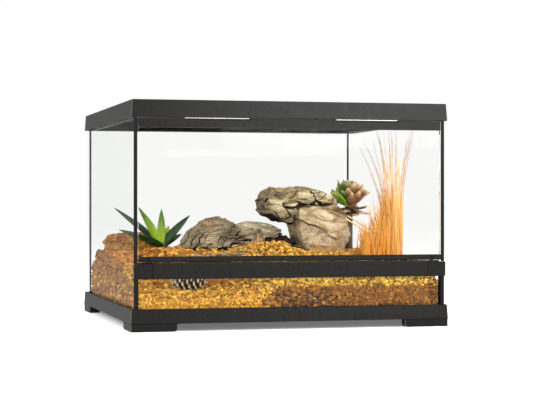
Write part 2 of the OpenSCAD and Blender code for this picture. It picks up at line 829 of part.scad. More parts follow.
module substrate_bed() {
    n = bed_steps;
    m = (n + 1) * (n + 1);
    spare = in_w / n;
    grid = [for (j = [0 : n]) for (i = [0 : n]) bed_corner(i, j, n)];
    top = [for (p = grid) [p[0], p[1], bed_surface(p[0], p[1], spare)]];
    bottom = [for (p = grid) [p[0], p[1], floor_z]];
    function at(i, j) = j * (n + 1) + i;
    top_faces = [for (j = [0 : n - 1]) for (i = [0 : n - 1]) for (k = [0, 1])
        k == 0 ? [at(i, j), at(i, j + 1), at(i + 1, j)] : [at(i + 1, j), at(i, j + 1), at(i + 1, j + 1)]];
    rim = concat(
        [for (i = [0 : n - 1]) at(i, 0)], [for (j = [0 : n - 1]) at(n, j)],
        [for (i = [n : -1 : 1]) at(i, n)], [for (j = [n : -1 : 1]) at(0, j)]);
    count = len(rim);
    side_faces = [for (k = [0 : count - 1]) let (a = rim[k], b = rim[(k + 1) % count])
        for (t = [0, 1]) t == 0 ? [a, b, b + m] : [a, b + m, a + m]];
    rim_bottom = [for (a = rim) a + m];
    color([0.8, 0.6, 0.3]) polyhedron(concat(top, bottom), concat(top_faces, side_faces, [rim_bottom]));
}

function bulge(t) = sign(t) * pow(abs(t), 0.75);

// ring of a lofted stone, flat underneath; row is [x, middle y, half depth, bottom, top]
// and flat_top above 1 cuts the crown level
function stone_ring(row, sides, ripple, flat_top) =
    let (belly = row[3] + 0.35 * (row[4] - row[3]))
    [for (k = [0 : sides - 1])
        let (a = 360 * k / sides,
            wave = 1 + ripple * sin(3 * a + 7 * row[0]),
            z = belly + (row[4] - belly) * flat_top * bulge(sin(a)))
        [row[0], row[1] + row[2] * wave * bulge(cos(a)), min(row[4], max(row[3], z))]];

// stone lofted along X through its rows
module lofted_stone(rows, sides = 16, ripple = 0.06, flat_top = 1) {
    n = len(rows);
    points = [for (row = rows) for (p = stone_ring(row, sides, ripple, flat_top)) p];
    walls = [for (i = [0 : n - 2]) for (k = [0 : sides - 1])
        let (a = i * sides + k, b = i * sides + (k + 1) % sides) for (t = [0, 1])
        t == 0 ? [a, b + sides, b] : [a, a + sides, b + sides]];
    start = [for (k = [0 : sides - 1]) k];
    end = [for (k = [sides - 1 : -1 : 0]) (n - 1) * sides + k];
    polyhedron(points, concat(walls, [start, end]));
}

module bark_mound() {
    z = level(mound_rise);
    color([0.75, 0.45, 0.15]) lofted_stone([
        [mound_x, mound_y, 14, z, z + 16],
        [mound_x + 10, mound_y - 3, 26, z, z + 26],
        [mound_x + 30, mound_y - 12, 34, z, z + 29],
        [mound_x + 52, mound_y - 26, 38, z, z + 30],
        [mound_x + 74, mound_y - 42, 34, z, z + 26],
        [mound_x + 90, mound_y - 50, 22, z, z + 16]
    ]);
}

module weathered_log() {
    z = level(log_rise);
    color([0.5, 0.47, 0.4]) lofted_stone([
        [log_at(0), log_y - 4, 10, z, z + 12],
        [log_at(12), log_y - 2, 18, z, z + 26],
        [log_at(32), log_y, 22, z, z + 41],
        [log_at(54), log_y, 24, z, z + 48],
        [log_at(70), log_y + 2, 22, z, z + 43],
        [log_at(84), log_y + 4, 18, z, z + 36],
        [log_at(104), log_y + 6, 15, z, z + 37],
        [log_at(116), log_y + 8, 12, z + 4, z + 36],
        [log_at(134), log_y + 8, 10, z + 14, z + 36],
        [log_at(148), log_y + 6, 9, z + 15, z + 34],
        [log_at(155), log_y + 4, 6, z + 18, z + 29]
    ]);
}

module boulder() {
    z = level(boulder_rise);
    rest = level(slab_rise);
    color([0.72, 0.66, 0.56]) lofted_stone([
        [boulder_x - boulder_l, boulder_y + 2, 26, z, rest - 10],
        [boulder_x - 82, boulder_y, 36, z, rest],
        [boulder_x - 70, boulder_y - 2, 43, z, rest],
        [boulder_x - 46, boulder_y - 2, 46, z, rest],
        [boulder_x - 24, boulder_y, 42, z, rest],
        [boulder_x - 10, boulder_y, 34, z, rest - 14],
        [boulder_x, boulder_y + 2, 22, z, rest - 38]
    ], flat_top = 1.25);
}

// upper stone: a thick chin hangs in front of the cave, the rest lies on the boulder
module rock_slab() {
    x = boulder_x - boulder_l - slab_out;
    y = boulder_y + 6;
    z = level(slab_rise);
    chin_end = slab_out - slab_gap;
    color([0.68, 0.62, 0.5]) lofted_stone([
        [x, y, 22, z - 9, z + 11],
        [x + 5, y, 33, z - 16, z + 20],
        [x + 18, y, 39, z - 24, z + 27],
        [x + 36, y, 42, z - 29, z + 27],
        [x + chin_end - 3, y, 42, z - 26, z + 27],
        [x + chin_end, y, 42, z, z + 27],
        [x + 66, y, 44, z, z + 26],
        [x + 92, y, 40, z, z + 22],
        [x + 108, y, 32, z, z + 16],
        [x + 118, y, 20, z, z + 8]
    ]);
}

// point on a leaf that starts at the origin and leans towards +X
function leaf_point(s, l, lean, curl) =
    let (a = lean + curl * s) [l * s * sin(a), 0, l * s * cos(a)];

// thin section of a leaf
module leaf_section(s, l, w, t, lean, curl, share, sides) {
    thin = 0.3;
    translate(leaf_point(s, l, lean, curl)) rotate([0, lean + curl * s, 0]) linear_extrude(thin)
        scale([t * share, w * share]) circle(d = 1, $fn = sides);
}

// leaf in straight stretches; stations are [share of the length, share of the width]
module leaf(l, w, t, lean, curl, stations, sides = 8) {
    for (i = [0 : len(stations) - 2]) hull() for (p = [stations[i], stations[i + 1]])
        leaf_section(p[0], l, w, t, lean, curl, p[1], sides);
}

module aloe_stem() {
    translate([aloe_x, aloe_y, level(log_rise)]) cylinder(h = 8, r = 7);
}

// turn round the stem, lean from upright and share of the full length for each leaf
aloe_leaves = [
    [143, 52, 1], [152, 68, 0.72], [178, 30, 0.68], [195, 34, 0.62], [250, 4, 0.56],
    [300, 14, 0.46], [3, 40, 0.62], [20, 52, 0.5], [60, 44, 0.5]
];

module spiky_plant() {
    color([0.3, 0.55, 0.12]) {
        aloe_stem();
        for (p = aloe_leaves)
            translate([aloe_x, aloe_y, level(log_rise) + 4]) rotate([0, 0, p[0]])
                leaf(aloe_leaf_l * p[2], aloe_leaf_w, 4, p[1], 6, [[0, 0.8], [0.3, 1], [0.65, 0.7], [1, 0.08]]);
    }
}

// turn between two leaves, lean, share of the length, root height and leaves of each tier
rosette_tiers = [[45, 88, 1, 0, 8], [60, 58, 0.92, 8, 6], [90, 24, 0.74, 13, 4]];

// one leaf of the rosette, broad beyond its middle
module rosette_leaf(l) {
    hull() {
        cylinder(h = 1, r = 1.2, $fn = 6);
        translate([0, 0, 0.68 * l]) scale([0.25, 1, 1]) cylinder(h = 1, r = 0.24 * l, $fn = 8);
        translate([0, 0, l - 2]) scale([0.25, 1, 1]) cylinder(h = 1, r = 3, $fn = 6);
    }
}

module rosette_plant() {
    stem_r = 6;
    crown_h = 16;
    root_in = 3;
    crown_z = level(boulder_rise) + rosette_stem_h;
    color([0.45, 0.42, 0.22]) translate([rosette_x, rosette_y, 0]) {
        translate([0, 0, level(boulder_rise)]) cylinder(h = rosette_stem_h + crown_h, r = stem_r, $fn = 24);
        for (tier = rosette_tiers) for (i = [0 : tier[4] - 1])
            rotate([0, 0, tier[0] * i + tier[1]]) translate([root_in, 0, crown_z + tier[3]])
                rotate([0, tier[1], 0]) rosette_leaf(rosette_leaf_l * tier[2]);
    }
}

// straight blades fan out from the stool; each turn and lean follows from its number
module grass_tuft() {
    golden = 137.5;
    stool_h = 5;
    base_z = level(grass_rise) + stool_h;
    top_z = lid_z - grass_headroom;
    color([0.85, 0.6, 0.2]) {
        translate([grass_x, grass_y, level(grass_rise)]) cylinder(h = stool_h + 1, r = grass_stool_r);
        for (i = [0 : grass_blades - 1]) {
            share = sqrt((i + 0.5) / grass_blades);
            turn = i * golden;
            foot = (grass_stool_r - 2) * share;
            l = (top_z - base_z) * (1 - 0.45 * share * abs(sin(2.3 * turn)));
            translate([grass_x + foot * cos(turn), grass_y + foot * sin(turn), base_z]) rotate([0, 0, turn])
                rotate([0, 1 + 6 * share, 0]) cylinder(h = l, r1 = blade_t / 2, r2 = blade_t / 4, $fn = 5);
        }
    }
}

module pine_cone() {
    z = level(cone_rise);
    color([0.35, 0.25, 0.15]) lofted_stone([
        [cone_x - 30, cone_y, 8, z, z + 14],
        [cone_x - 18, cone_y, 18, z, z + 24],
        [cone_x, cone_y + 2, 23, z, z + 30],
        [cone_x + 18, cone_y + 4, 17, z, z + 24],
        [cone_x + 30, cone_y + 5, 8, z, z + 14]
    ], sides = 14, ripple = 0);
}

module bark_flake() {
    z = level(flake_rise);
    color([0.55, 0.4, 0.25]) lofted_stone([
        [flake_x, flake_y, 3, z, z + 5],
        [flake_x + 14, flake_y - 1, 7, z, z + 9],
        [flake_x + 34, flake_y - 2, 8, z, z + 10],
        [flake_x + 50, flake_y - 1, 4, z, z + 7]
    ], sides = 10, ripple = 0);
}

// turn, lean and length for each twig
twig_rods = [[20, 12, 22], [160, 20, 18], [250, 8, 26], [310, 28, 14]];

module dry_twigs() {
    color([0.5, 0.3, 0.18]) translate([twig_x, twig_y, level(log_rise)]) {
        cylinder(h = 3, r = 4);
        for (p = twig_rods) translate([0, 0, 1.5]) rotate([0, 0, p[0]])
            leaf(p[2], 3, 3, p[1], 5, [[0, 1], [0.5, 0.8], [1, 0.3]], sides = 5);
    }
}

base_frame();
bottom_glass();
left_glass();
right_glass();
rear_glass();
front_lower_glass();
floor_seal();
rear_corner_seals();
front_corner_seals();
edge_trim_left();
edge_trim_right();
vent_rail();
vent_cover();
hinge_block_left();
hinge_block_right();
hinge_pins();
door_glass();
door_bottom_rail();
door_top_rail();
door_magnets();
door_keepers();
top_frame();
lid_frame();
lid_screen();
screen_spline();
lid_latch_left();
lid_latch_right();
cable_gate_left();
cable_gate_right();
substrate_bed();
bark_mound();
weathered_log();
rock_slab();
boulder();
spiky_plant();
rosette_plant();
grass_tuft();
pine_cone();
bark_flake();
dry_twigs();
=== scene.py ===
"""Front-opening reptile terrarium: the looks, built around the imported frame."""

import json
import math
import random

import bmesh
import bpy
import numpy as np
from mathutils import Matrix, Vector, noise
from mathutils.bvhtree import BVHTree


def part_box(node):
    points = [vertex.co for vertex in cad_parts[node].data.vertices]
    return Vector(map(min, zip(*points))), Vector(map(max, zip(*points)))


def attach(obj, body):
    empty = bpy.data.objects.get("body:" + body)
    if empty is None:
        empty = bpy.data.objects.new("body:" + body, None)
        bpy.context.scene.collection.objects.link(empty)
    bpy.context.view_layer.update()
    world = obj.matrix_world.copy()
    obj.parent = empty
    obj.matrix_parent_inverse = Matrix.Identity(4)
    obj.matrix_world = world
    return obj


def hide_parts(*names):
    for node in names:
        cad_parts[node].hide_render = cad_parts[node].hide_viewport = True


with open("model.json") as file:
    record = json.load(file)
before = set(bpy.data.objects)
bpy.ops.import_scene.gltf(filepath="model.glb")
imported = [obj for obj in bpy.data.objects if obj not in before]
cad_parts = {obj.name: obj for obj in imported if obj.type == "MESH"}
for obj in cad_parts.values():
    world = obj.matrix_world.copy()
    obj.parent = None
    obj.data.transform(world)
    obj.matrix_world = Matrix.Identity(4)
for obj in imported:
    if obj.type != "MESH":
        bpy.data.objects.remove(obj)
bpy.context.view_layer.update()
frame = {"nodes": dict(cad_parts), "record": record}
scene = bpy.context.scene
chance = random.Random(7)

BED_FLOOR = 0.0235            # underside of the bedding
CONE_FRONT = -0.2195          # Y that the cone's scales stay behind, clear of the front pane
ABOVE_ALL = 0.28              # a level over everything that stands in the tank
WELD = 0.00001                # corners of a CAD solid nearer than this are one corner
FULL_TURN = 6.28              # in radians
SPIRAL_TURN = math.radians(137.5)       # from one leaf or scale to the next
CAMERA_PLACE = (-0.5948, -2.3964, 0.1792)
CAMERA_TURN, CAMERA_TILT = math.radians(-14.39), math.radians(90.06)


def colour(red, green, blue):
    """A screen colour from 0 to 255 as the light values that shaders take."""
    return tuple((c / 255) ** 2.2 for c in (red, green, blue))


def put(name, data):
    """A new object in the scene, of a mesh, a lamp or a camera."""
    made = bpy.data.objects.new(name, data)
    scene.collection.objects.link(made)
    return made


def as_mesh(name, bm):
    mesh = bpy.data.meshes.new(name)
    bm.to_mesh(mesh)
    bm.free()
    return mesh


def cad_copy(node):
    """A CAD solid's triangles, joined at their corners."""
    bm = bmesh.new()
    bm.from_mesh(frame["nodes"][node].data)
    bmesh.ops.remove_doubles(bm, verts=bm.verts, dist=WELD)
    return bm


# ---------------------------------------------------------------- camera
camera_data = bpy.data.cameras.new("camera")
camera_data.lens = 108.1
camera_data.sensor_width = 36
camera_data.clip_end = 50
camera = put("camera", camera_data)
camera.matrix_world = (Matrix.Translation(CAMERA_PLACE) @ Matrix.Rotation(CAMERA_TURN, 4, "Z")
                       @ Matrix.Rotation(CAMERA_TILT, 4, "X"))
scene.camera = camera
scene.view_settings.view_transform = "Standard"


# ---------------------------------------------------------------- finishes
class Finish:
    """A material whose nodes are added one short call at a time."""

    def __init__(self, name, **sockets):
        self.material = bpy.data.materials.new(name)
        self.material.use_nodes = True
        self.tree = self.material.node_tree
        self.shader = self.tree.nodes["Principled BSDF"]
        self.place = self.tree.nodes.new("ShaderNodeTexCoord").outputs["Object"]
        self.set(**sockets)

    def feed(self, socket, value):
        if isinstance(value, bpy.types.NodeSocket):
            self.tree.links.new(value, socket)
        elif isinstance(value, tuple) and len(value) == 3 and socket.type == "RGBA":
            socket.default_value = (*value, 1)
        else:
            socket.default_value = value

    def set(self, **sockets):
        for key, value in sockets.items():
            self.feed(self.shader.inputs[key.replace("_", " ")], value)

    def node(self, kind, inputs, **settings):
        made = self.tree.nodes.new("ShaderNode" + kind)
        for key, value in settings.items():
            setattr(made, key, value)
        for key, value in inputs.items():
            self.feed(made.inputs[key], value)
        return made

    def noise(self, scale, detail=4, rough=0.6, stretch=(1, 1, 1), turn=(0, 0, 0), distortion=0.0):
        mapping = self.node("Mapping", {"Vector": self.place, "Scale": stretch, "Rotation": turn})
        return self.node("TexNoise", {"Vector": mapping.outputs["Vector"], "Scale": scale, "Detail": detail,
                                      "Roughness": rough, "Distortion": distortion}).outputs["Fac"]

    def attribute(self, name, output="Color"):
        return self.node("Attribute", {}, attribute_name=name).outputs[output]

    def ramp(self, value, *stops):
        made = self.node("ValToRGB", {"Fac": value})
        band = made.color_ramp
        while len(band.elements) < len(stops):
            band.elements.new(0.5)
        for element, (place, shade) in zip(band.elements, stops):
            element.position = place
            element.color = (*shade, 1) if isinstance(shade, tuple) else (shade, shade, shade, 1)
        return made.outputs["Color"]

    def mix(self, share, first, second, blend="MIX"):
        made = self.node("Mix", {}, data_type="RGBA", blend_type=blend)
        for index, value in ((0, share), (6, first), (7, second)):
            self.feed(made.inputs[index], value)
        return made.outputs[2]

    def sum(self, first, second, operation="ADD"):
        return self.node("Math", {0: first, 1: second}, operation=operation).outputs[0]

    def bump(self, height, depth, strength=1.0):
        links = self.shader.inputs["Normal"].links
        inputs = {"Height": height, "Distance": depth, "Strength": strength}
        if links:
            inputs["Normal"] = links[0].from_socket
        self.set(Normal=self.node("Bump", inputs).outputs["Normal"])


def moulded_plastic(name, dark, light, highlight, roughness):
    """Black plastic with a painted highlight on the rounded edges that a face attribute marks, and duller
    seen from the side.
    """
    made = Finish(name, Specular_IOR_Level=0.12)
    body = made.mix(made.noise(9, 3), dark, light)
    facing = made.node("LayerWeight", {"Blend": 0.5}).outputs["Facing"]
    grazing = made.ramp(facing, (0.45, 0.0), (0.78, 0.26))
    mottle = made.ramp(made.noise(160, 4), (0.3, roughness - 0.03), (0.7, roughness + 0.04))
    made.set(Base_Color=made.mix(made.attribute("rim", "Fac"), body, highlight),
             Roughness=made.sum(mottle, grazing))
    made.bump(made.noise(1500, 2, 0.7), 0.00010, 0.3)
    return made.material


def pane_glass(name, bend, steep, shallow):
    """Clear sheet: steep is its tint seen square on, shallow seen nearly along the sheet."""
    made = Finish(name, Transmission_Weight=1.0, IOR=bend)
    facing = made.node("LayerWeight", {}).outputs["Facing"]
    made.set(Base_Color=made.ramp(facing, (0.70, steep), (0.88, shallow)),
             Roughness=made.ramp(made.noise(14, 5), (0.5, 0.0), (0.85, 0.012)))
    light_path = made.node("LightPath", {})
    clear = made.node("BsdfTransparent", {"Color": (0.96, 0.97, 0.96)})
    shared = made.node("MixShader", {0: light_path.outputs["Is Shadow Ray"]})
    made.tree.links.new(made.shader.outputs[0], shared.inputs[1])
    made.tree.links.new(clear.outputs[0], shared.inputs[2])
    made.tree.links.new(shared.outputs[0], made.tree.nodes["Material Output"].inputs[0])
    return made.material


def sealant_bead(name):
    made = Finish(name, Base_Color=(0.004, 0.004, 0.0035), Specular_IOR_Level=0.1)
    made.set(Roughness=made.ramp(made.noise(90, 3), (0.3, 0.28), (0.7, 0.42)))
    made.bump(made.noise(120, 2), 0.0003, 0.4)
    return made.material


def plated_steel(name, dark_below):
    """Brushed steel that is darker below a level."""
    made = Finish(name, Metallic=1.0)
    brushed = made.noise(900, 3, 0.7, stretch=(0.03, 1, 1))
    height = made.node("SeparateXYZ", {"Vector": made.place}).outputs["Z"]
    # darker below the level dark_below, with a sharp change
    stain = made.sum(made.sum(height, dark_below, "SUBTRACT"), 2000, "MULTIPLY")
    above_level = made.ramp(stain, (0.0, 0.0), (1.0, 1.0))
    made.set(Base_Color=made.mix(above_level, (0.02, 0.019, 0.018), (0.36, 0.33, 0.31)),
             Roughness=made.ramp(brushed, (0.3, 0.2), (0.7, 0.42)))
    made.bump(brushed, 0.00008, 0.4)
    return made.material


def powder_coat(name):
    made = Finish(name)
    made.set(Base_Color=made.mix(made.noise(25, 3), (0.016, 0.016, 0.016), (0.028, 0.027, 0.026)),
             Roughness=made.ramp(made.noise(300, 3), (0.3, 0.42), (0.7, 0.58)))
    made.bump(made.noise(700, 2, 0.6), 0.0002, 0.6)
    return made.material


def stained(name, roughness, grain_size, grain_depth, dark_share=0.35):
    """A finish that takes each bit's own colour and breaks it up with grain."""
    made = Finish(name)
    own = made.attribute("stain")
    speck = made.noise(1 / grain_size, 5, 0.7)
    shade = made.ramp(speck, (0.3, 1 - dark_share), (0.62, 1.0))
    made.set(Base_Color=made.mix(1.0, own, shade, "MULTIPLY"),
             Roughness=made.ramp(speck, (0.3, roughness - 0.08), (0.7, roughness + 0.08)))
    made.bump(speck, grain_depth, 0.8)
    return made.material


def weathered(name, along, pale, middle, dark, stain, roughness=0.88):
    """Stone or wood: along is its layered noise, tone its darker faces, and a point attribute the painted
    shade of its crevices, cracks and undersides.
    """
    made = Finish(name, Roughness=roughness, Specular_IOR_Level=0.1)
    layers = made.noise(*along[0], **along[1])
    speck = made.noise(380, 6, 0.78)
    blotch = made.noise(17, 4, 0.6, distortion=0.9)
    skin = made.ramp(layers, (0.33, dark), (0.47, middle), (0.60, pale))
    skin = made.mix(made.ramp(blotch, (0.52, 0.0), (0.68, 0.7)), skin, stain)
    tone = made.attribute("tone", "Fac")
    skin = made.mix(tone, skin, made.mix(made.ramp(speck, (0.4, 0.0), (0.6, 1.0)), dark, middle))
    skin = made.mix(1.0, skin, made.ramp(speck, (0.32, 0.42), (0.58, 1.0)), "MULTIPLY")
    # painted shade: crevices, cracks, joints and undersides darken towards a near black brown
    painted_shade = made.ramp(made.attribute("painted_shade", "Fac"), (0.08, 0.0), (0.55, 1.0))
    made.set(Base_Color=made.mix(painted_shade, skin, colour(30, 22, 15)))
    made.bump(layers, 0.0012, 0.8)
    made.bump(speck, 0.0006, 0.9)
    return made.material


def packed_bark(name):
    made = Finish(name, Specular_IOR_Level=0.06)
    dark, middle, pale = colour(70, 44, 12), colour(140, 96, 32), colour(190, 138, 58)
    crumbs = made.noise(210, 6, 0.75)
    skin = made.ramp(crumbs, (0.34, dark), (0.48, middle), (0.60, pale))
    patches = made.ramp(made.noise(24, 3), (0.4, 0.0), (0.62, 0.5))
    made.set(Base_Color=made.mix(patches, skin, colour(112, 74, 26)), Roughness=0.92)
    made.bump(crumbs, 0.0012, 1.0)
    return made.material


def waxy_leaf(name, roughness):
    made = Finish(name, Subsurface_Weight=0.12, Subsurface_Scale=0.004, Specular_IOR_Level=0.3)
    own = made.attribute("stain")
    veins = made.noise(240, 3, 0.6, stretch=(1, 1, 0.25))
    made.set(Base_Color=made.mix(1.0, own, made.ramp(veins, (0.3, 0.72), (0.65, 1.0)), "MULTIPLY"),
             Roughness=made.ramp(veins, (0.3, roughness), (0.7, roughness + 0.12)))
    made.bump(veins, 0.0003, 0.5)
    return made.material


# painted highlight: the pale colour of the rounded edges, where they catch the light
EDGE_HIGHLIGHT = colour(104, 102, 98)
BLACK_PLASTIC = moulded_plastic("black_plastic", colour(20, 19, 18), colour(27, 26, 24), EDGE_HIGHLIGHT, 0.28)
RAIL_PLASTIC = moulded_plastic("rail_plastic", colour(22, 21, 20), colour(30, 29, 27), EDGE_HIGHLIGHT, 0.28)
GLASS = pane_glass("pane_glass", 1.1, (0.965, 0.970, 0.960), (0.93, 0.94, 0.93))
SIDE_GLASS = pane_glass("side_pane_glass", 1.012, (0.965, 0.970, 0.960), (0.87, 0.88, 0.875))
SEALANT = sealant_bead("black_sealant")
KEEPER_EDGE = 0.0012          # bright top edge of the keepers, over their darker faces
STEEL = plated_steel("plated_steel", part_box("door_keepers")[1].z - KEEPER_EDGE)
POWDER_COAT = powder_coat("black_powder_coat")
NET_COAT = Finish("net_coat", Base_Color=(0.003, 0.003, 0.003), Roughness=0.7,
                  Specular_IOR_Level=0.05).material
BEDDING = stained("bark_bedding", 0.85, 0.0022, 0.0006)
MOUND_BARK = packed_bark("packed_bark")
GREY_WOOD = weathered(
    "grey_driftwood",
    ((30, 6, 0.7), {"stretch": (1, 1.6, 6), "turn": (0, math.radians(14), 0), "distortion": 0.6}),
    colour(190, 180, 152), colour(136, 124, 98), colour(54, 43, 31), colour(150, 112, 84))
SLAB_STONE = weathered(
    "slab_sandstone",
    ((24, 6, 0.65), {"stretch": (1, 1, 3.5), "turn": (0, 0.18, 0), "distortion": 0.8}),
    colour(206, 190, 154), colour(156, 140, 108), colour(66, 52, 36), colour(176, 142, 92))
BOULDER_STONE = weathered(
    "boulder_sandstone",
    ((22, 6, 0.65), {"stretch": (1, 1, 2.4), "turn": (0, 0.6, 0), "distortion": 1.0}),
    colour(208, 188, 156), colour(160, 138, 106), colour(92, 70, 48), colour(170, 116, 60))
SPIKY_SKIN = waxy_leaf("spiky_leaf", 0.34)
ROSETTE_SKIN = waxy_leaf("rosette_leaf", 0.45)
STRAW = stained("dry_straw", 0.6, 0.0012, 0.0002, 0.25)
SCALES = stained("cone_scale", 0.75, 0.0012, 0.0004)
OLD_BARK = stained("old_bark", 0.85, 0.0016, 0.0006)

SLOT_FINISH = {
    "frame_plastic": BLACK_PLASTIC, "glass": GLASS, "sealant": SEALANT, "steel": STEEL,
    "lid_metal": POWDER_COAT, "bedding": BEDDING, "bark": OLD_BARK, "grey_wood": GREY_WOOD,
    "stone": SLAB_STONE, "leaf_green": SPIKY_SKIN, "leaf_brown_green": ROSETTE_SKIN, "dry_grass": STRAW,
}


def dress(node, finish):
    slots = frame["nodes"][node].data.materials
    slots.clear()
    slots.append(finish)


for part in frame["record"]["subparts"]:
    dress(part["node"], SLOT_FINISH[part["material_slot"]])
for node in ("left_glass", "right_glass"):
    dress(node, SIDE_GLASS)


# ---------------------------------------------------------------- making pieces
def piece(name, bm, finish, body, slot, *replaced, smooth=False):
    return settle(put(name, as_mesh(name, bm)), finish, body, slot, *replaced, smooth=smooth)


def settle(made, finish, body, slot, *replaced, smooth=False):
    mesh = made.data
    mesh.materials.clear()
    mesh.materials.append(finish)
    mesh.polygons.foreach_set("use_smooth", [smooth] * len(mesh.polygons))
    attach(made, body)
    if replaced:
        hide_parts(*replaced)
    return made


def eased(node, ease, finish, body="tank", slot="frame_plastic", cuts=(0,), highlight=0.0, up=(-0.3, 0.3)):
    """A CAD solid's copy with its sharp edges rounded over. Cuts across X and Y keep each face free of
    holes. The rounding is painted paler as a highlight, by the share given before up, where the Z of its
    normal lies within up."""
    bm = cad_copy(node)
    planes = [((x, 0, 0), (1, 0, 0)) for x in cuts] + [((0, 0, 0), (0, 1, 0))]
    for point, normal in planes:
        everything = list(bm.verts) + list(bm.edges) + list(bm.faces)
        made = bmesh.ops.bisect_plane(bm, geom=everything, dist=0.000001, plane_co=point, plane_no=normal)
        for edge in made["geom_cut"]:
            if isinstance(edge, bmesh.types.BMEdge):
                edge.seam = True
    bmesh.ops.dissolve_limit(bm, angle_limit=math.radians(0.5), verts=bm.verts, edges=bm.edges,
                             delimit={"SEAM"})
    rim = bm.faces.layers.float.new("rim")
    sharp = [e for e in bm.edges if e.is_manifold and e.calc_face_angle() > math.radians(40)]
    made = bmesh.ops.bevel(bm, geom=sharp, offset=ease, offset_type="OFFSET", segments=2, profile=0.5,
                           affect="EDGES", clamp_overlap=True, material=-1)
    low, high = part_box(node)
    for v in bm.verts:
        v.co = Vector(max(least, min(most, place)) for least, most, place in zip(low, high, v.co))
    bm.normal_update()
    # painted highlight on the rounded faces whose normal's Z lies within up
    for face in made["faces"]:
        face[rim] = highlight if up[0] < face.normal.z < up[1] else 0.0
    return piece(node + "_moulding", bm, finish, body, slot, node)


def solid_tree(node):
    bm = bmesh.new()
    bm.from_mesh(frame["nodes"][node].data)
    tree = BVHTree.FromBMesh(bm)
    bm.free()
    return tree


def heap_piece(name, bits, finish, body, slot, *replaced):
    """Many small bits as one piece. Each is (shape, place, stain)."""
    bm = bmesh.new()
    stains = []
    for shape, place, stain in bits:
        bit = shape.copy()
        bit.transform(place)
        bm.from_mesh(bit)
        bpy.data.meshes.remove(bit)
        stains.append(np.tile((*stain, 1.0), (len(shape.vertices), 1)))
    made = piece(name, bm, finish, body, slot, *replaced)
    layer = made.data.color_attributes.new(name="stain", type="FLOAT_COLOR", domain="POINT")
    layer.data.foreach_set("color", np.concatenate(stains).astype(np.float32).ravel())


def chip_shapes(count, roughness, detail):
    """Meshes of knobbly lumps about a unit in radius, to be repeated in heaps."""
    shapes = []
    for number in range(count):
        bm = bmesh.new()
        bmesh.ops.create_icosphere(bm, subdivisions=detail, radius=1)
        for v in bm.verts:
            v.co *= chance.uniform(1 - roughness, 1 + roughness)
        width, thickness = chance.uniform(0.6, 0.9), chance.uniform(0.5, 0.8)
        bmesh.ops.scale(bm, vec=(1, width, thickness), verts=bm.verts)
        shapes.append(as_mesh(f"chip_{number}", bm))
    return shapes


def tumbled(point, size):
    """A bit's place, size and chance turn."""
    turn = Matrix.Rotation(chance.uniform(0, 6.3), 4, "Z") @ Matrix.Rotation(chance.uniform(0, 6.3), 4, "X")
    return Matrix.Translation(point) @ turn @ Matrix.Scale(size, 4)


def bend(foot, turn, lean, curl, length, steps):
    """Places along a shoot that leaves its foot at a lean from upright and bends over by curl."""
    around = Matrix.Rotation(turn, 4, "Z")
    point = Vector(foot)
    places = []
    for step in range(steps + 1):
        angle = lean + curl * step / steps
        places.append(Matrix.Translation(point) @ around @ Matrix.Rotation(angle, 4, "Y"))
        middle = lean + curl * (step + 0.5) / steps
        point += around.to_3x3() @ Vector((math.sin(middle), 0, math.cos(middle))) * (length / steps)
    return places


def grow(bm, stain, places, sizes, stains, sides=8):
    """A shoot: a small disc extruded from place to place. sizes are (half thickness, half width)."""
    disc = bmesh.ops.create_circle(bm, cap_ends=True, segments=sides, radius=1)["verts"]
    cap = disc[0].link_faces[0]
    before = Matrix.Identity(4)
    for step, (place, (thick, wide), shade) in enumerate(zip(places, sizes, stains)):
        if step:
            cap = bmesh.ops.extrude_discrete_faces(bm, faces=[cap])["faces"][0]
        now = place @ Matrix.Diagonal((thick, wide, 1, 1))
        bmesh.ops.transform(bm, matrix=now @ before.inverted(), verts=cap.verts)
        for v in cap.verts:
            v[stain] = (*shade, 1)
        before = now


def seedling():
    """An empty mesh to grow shoots in, and the layer that holds each point's colour."""
    bm = bmesh.new()
    return bm, bm.verts.layers.float_color.new("stain")


def grown(name, bm, finish, slot, *replaced, smooth=False):
    bmesh.ops.recalc_face_normals(bm, faces=bm.faces)
    piece(name, bm, finish, "tank", slot, *replaced, smooth=smooth)


def blend_stain(first, second, share):
    share = min(1, max(0, share))
    return tuple(a + (b - a) * share for a, b in zip(first, second))


def carved(node, name, voxel, carve, finish, slot):
    """A CAD solid's copy, remeshed fine and carved point by point. carve gives height, painted shade and
    tone.
    """
    made = put(name, as_mesh(name, cad_copy(node)))
    remesh = made.modifiers.new("remesh", "REMESH")
    remesh.mode = "VOXEL"
    remesh.voxel_size = voxel
    bpy.context.view_layer.update()
    fine = bpy.data.meshes.new_from_object(made.evaluated_get(bpy.context.evaluated_depsgraph_get()))
    made.modifiers.clear()
    made.data = fine
    bm = bmesh.new()
    bm.from_mesh(fine)
    for turn in range(3):
        bmesh.ops.smooth_vert(bm, verts=bm.verts, factor=0.5,
                              use_axis_x=True, use_axis_y=True, use_axis_z=True)
    bm.normal_update()
    # painted shade of crevices, cracks, joints and undersides, kept per point
    painted_shade = bm.verts.layers.float.new("painted_shade")
    tone = bm.verts.layers.float.new("tone")
    moves = [(v, carve(v.co, v.normal), v.normal.copy()) for v in bm.verts]
    for v, (height, depth, shade), normal in moves:
        v.co += normal * height
        v[painted_shade] = depth
        v[tone] = min(1, max(0, shade))
    bm.to_mesh(fine)
    bm.free()
    return settle(made, finish, "tank", slot, node, smooth=True)


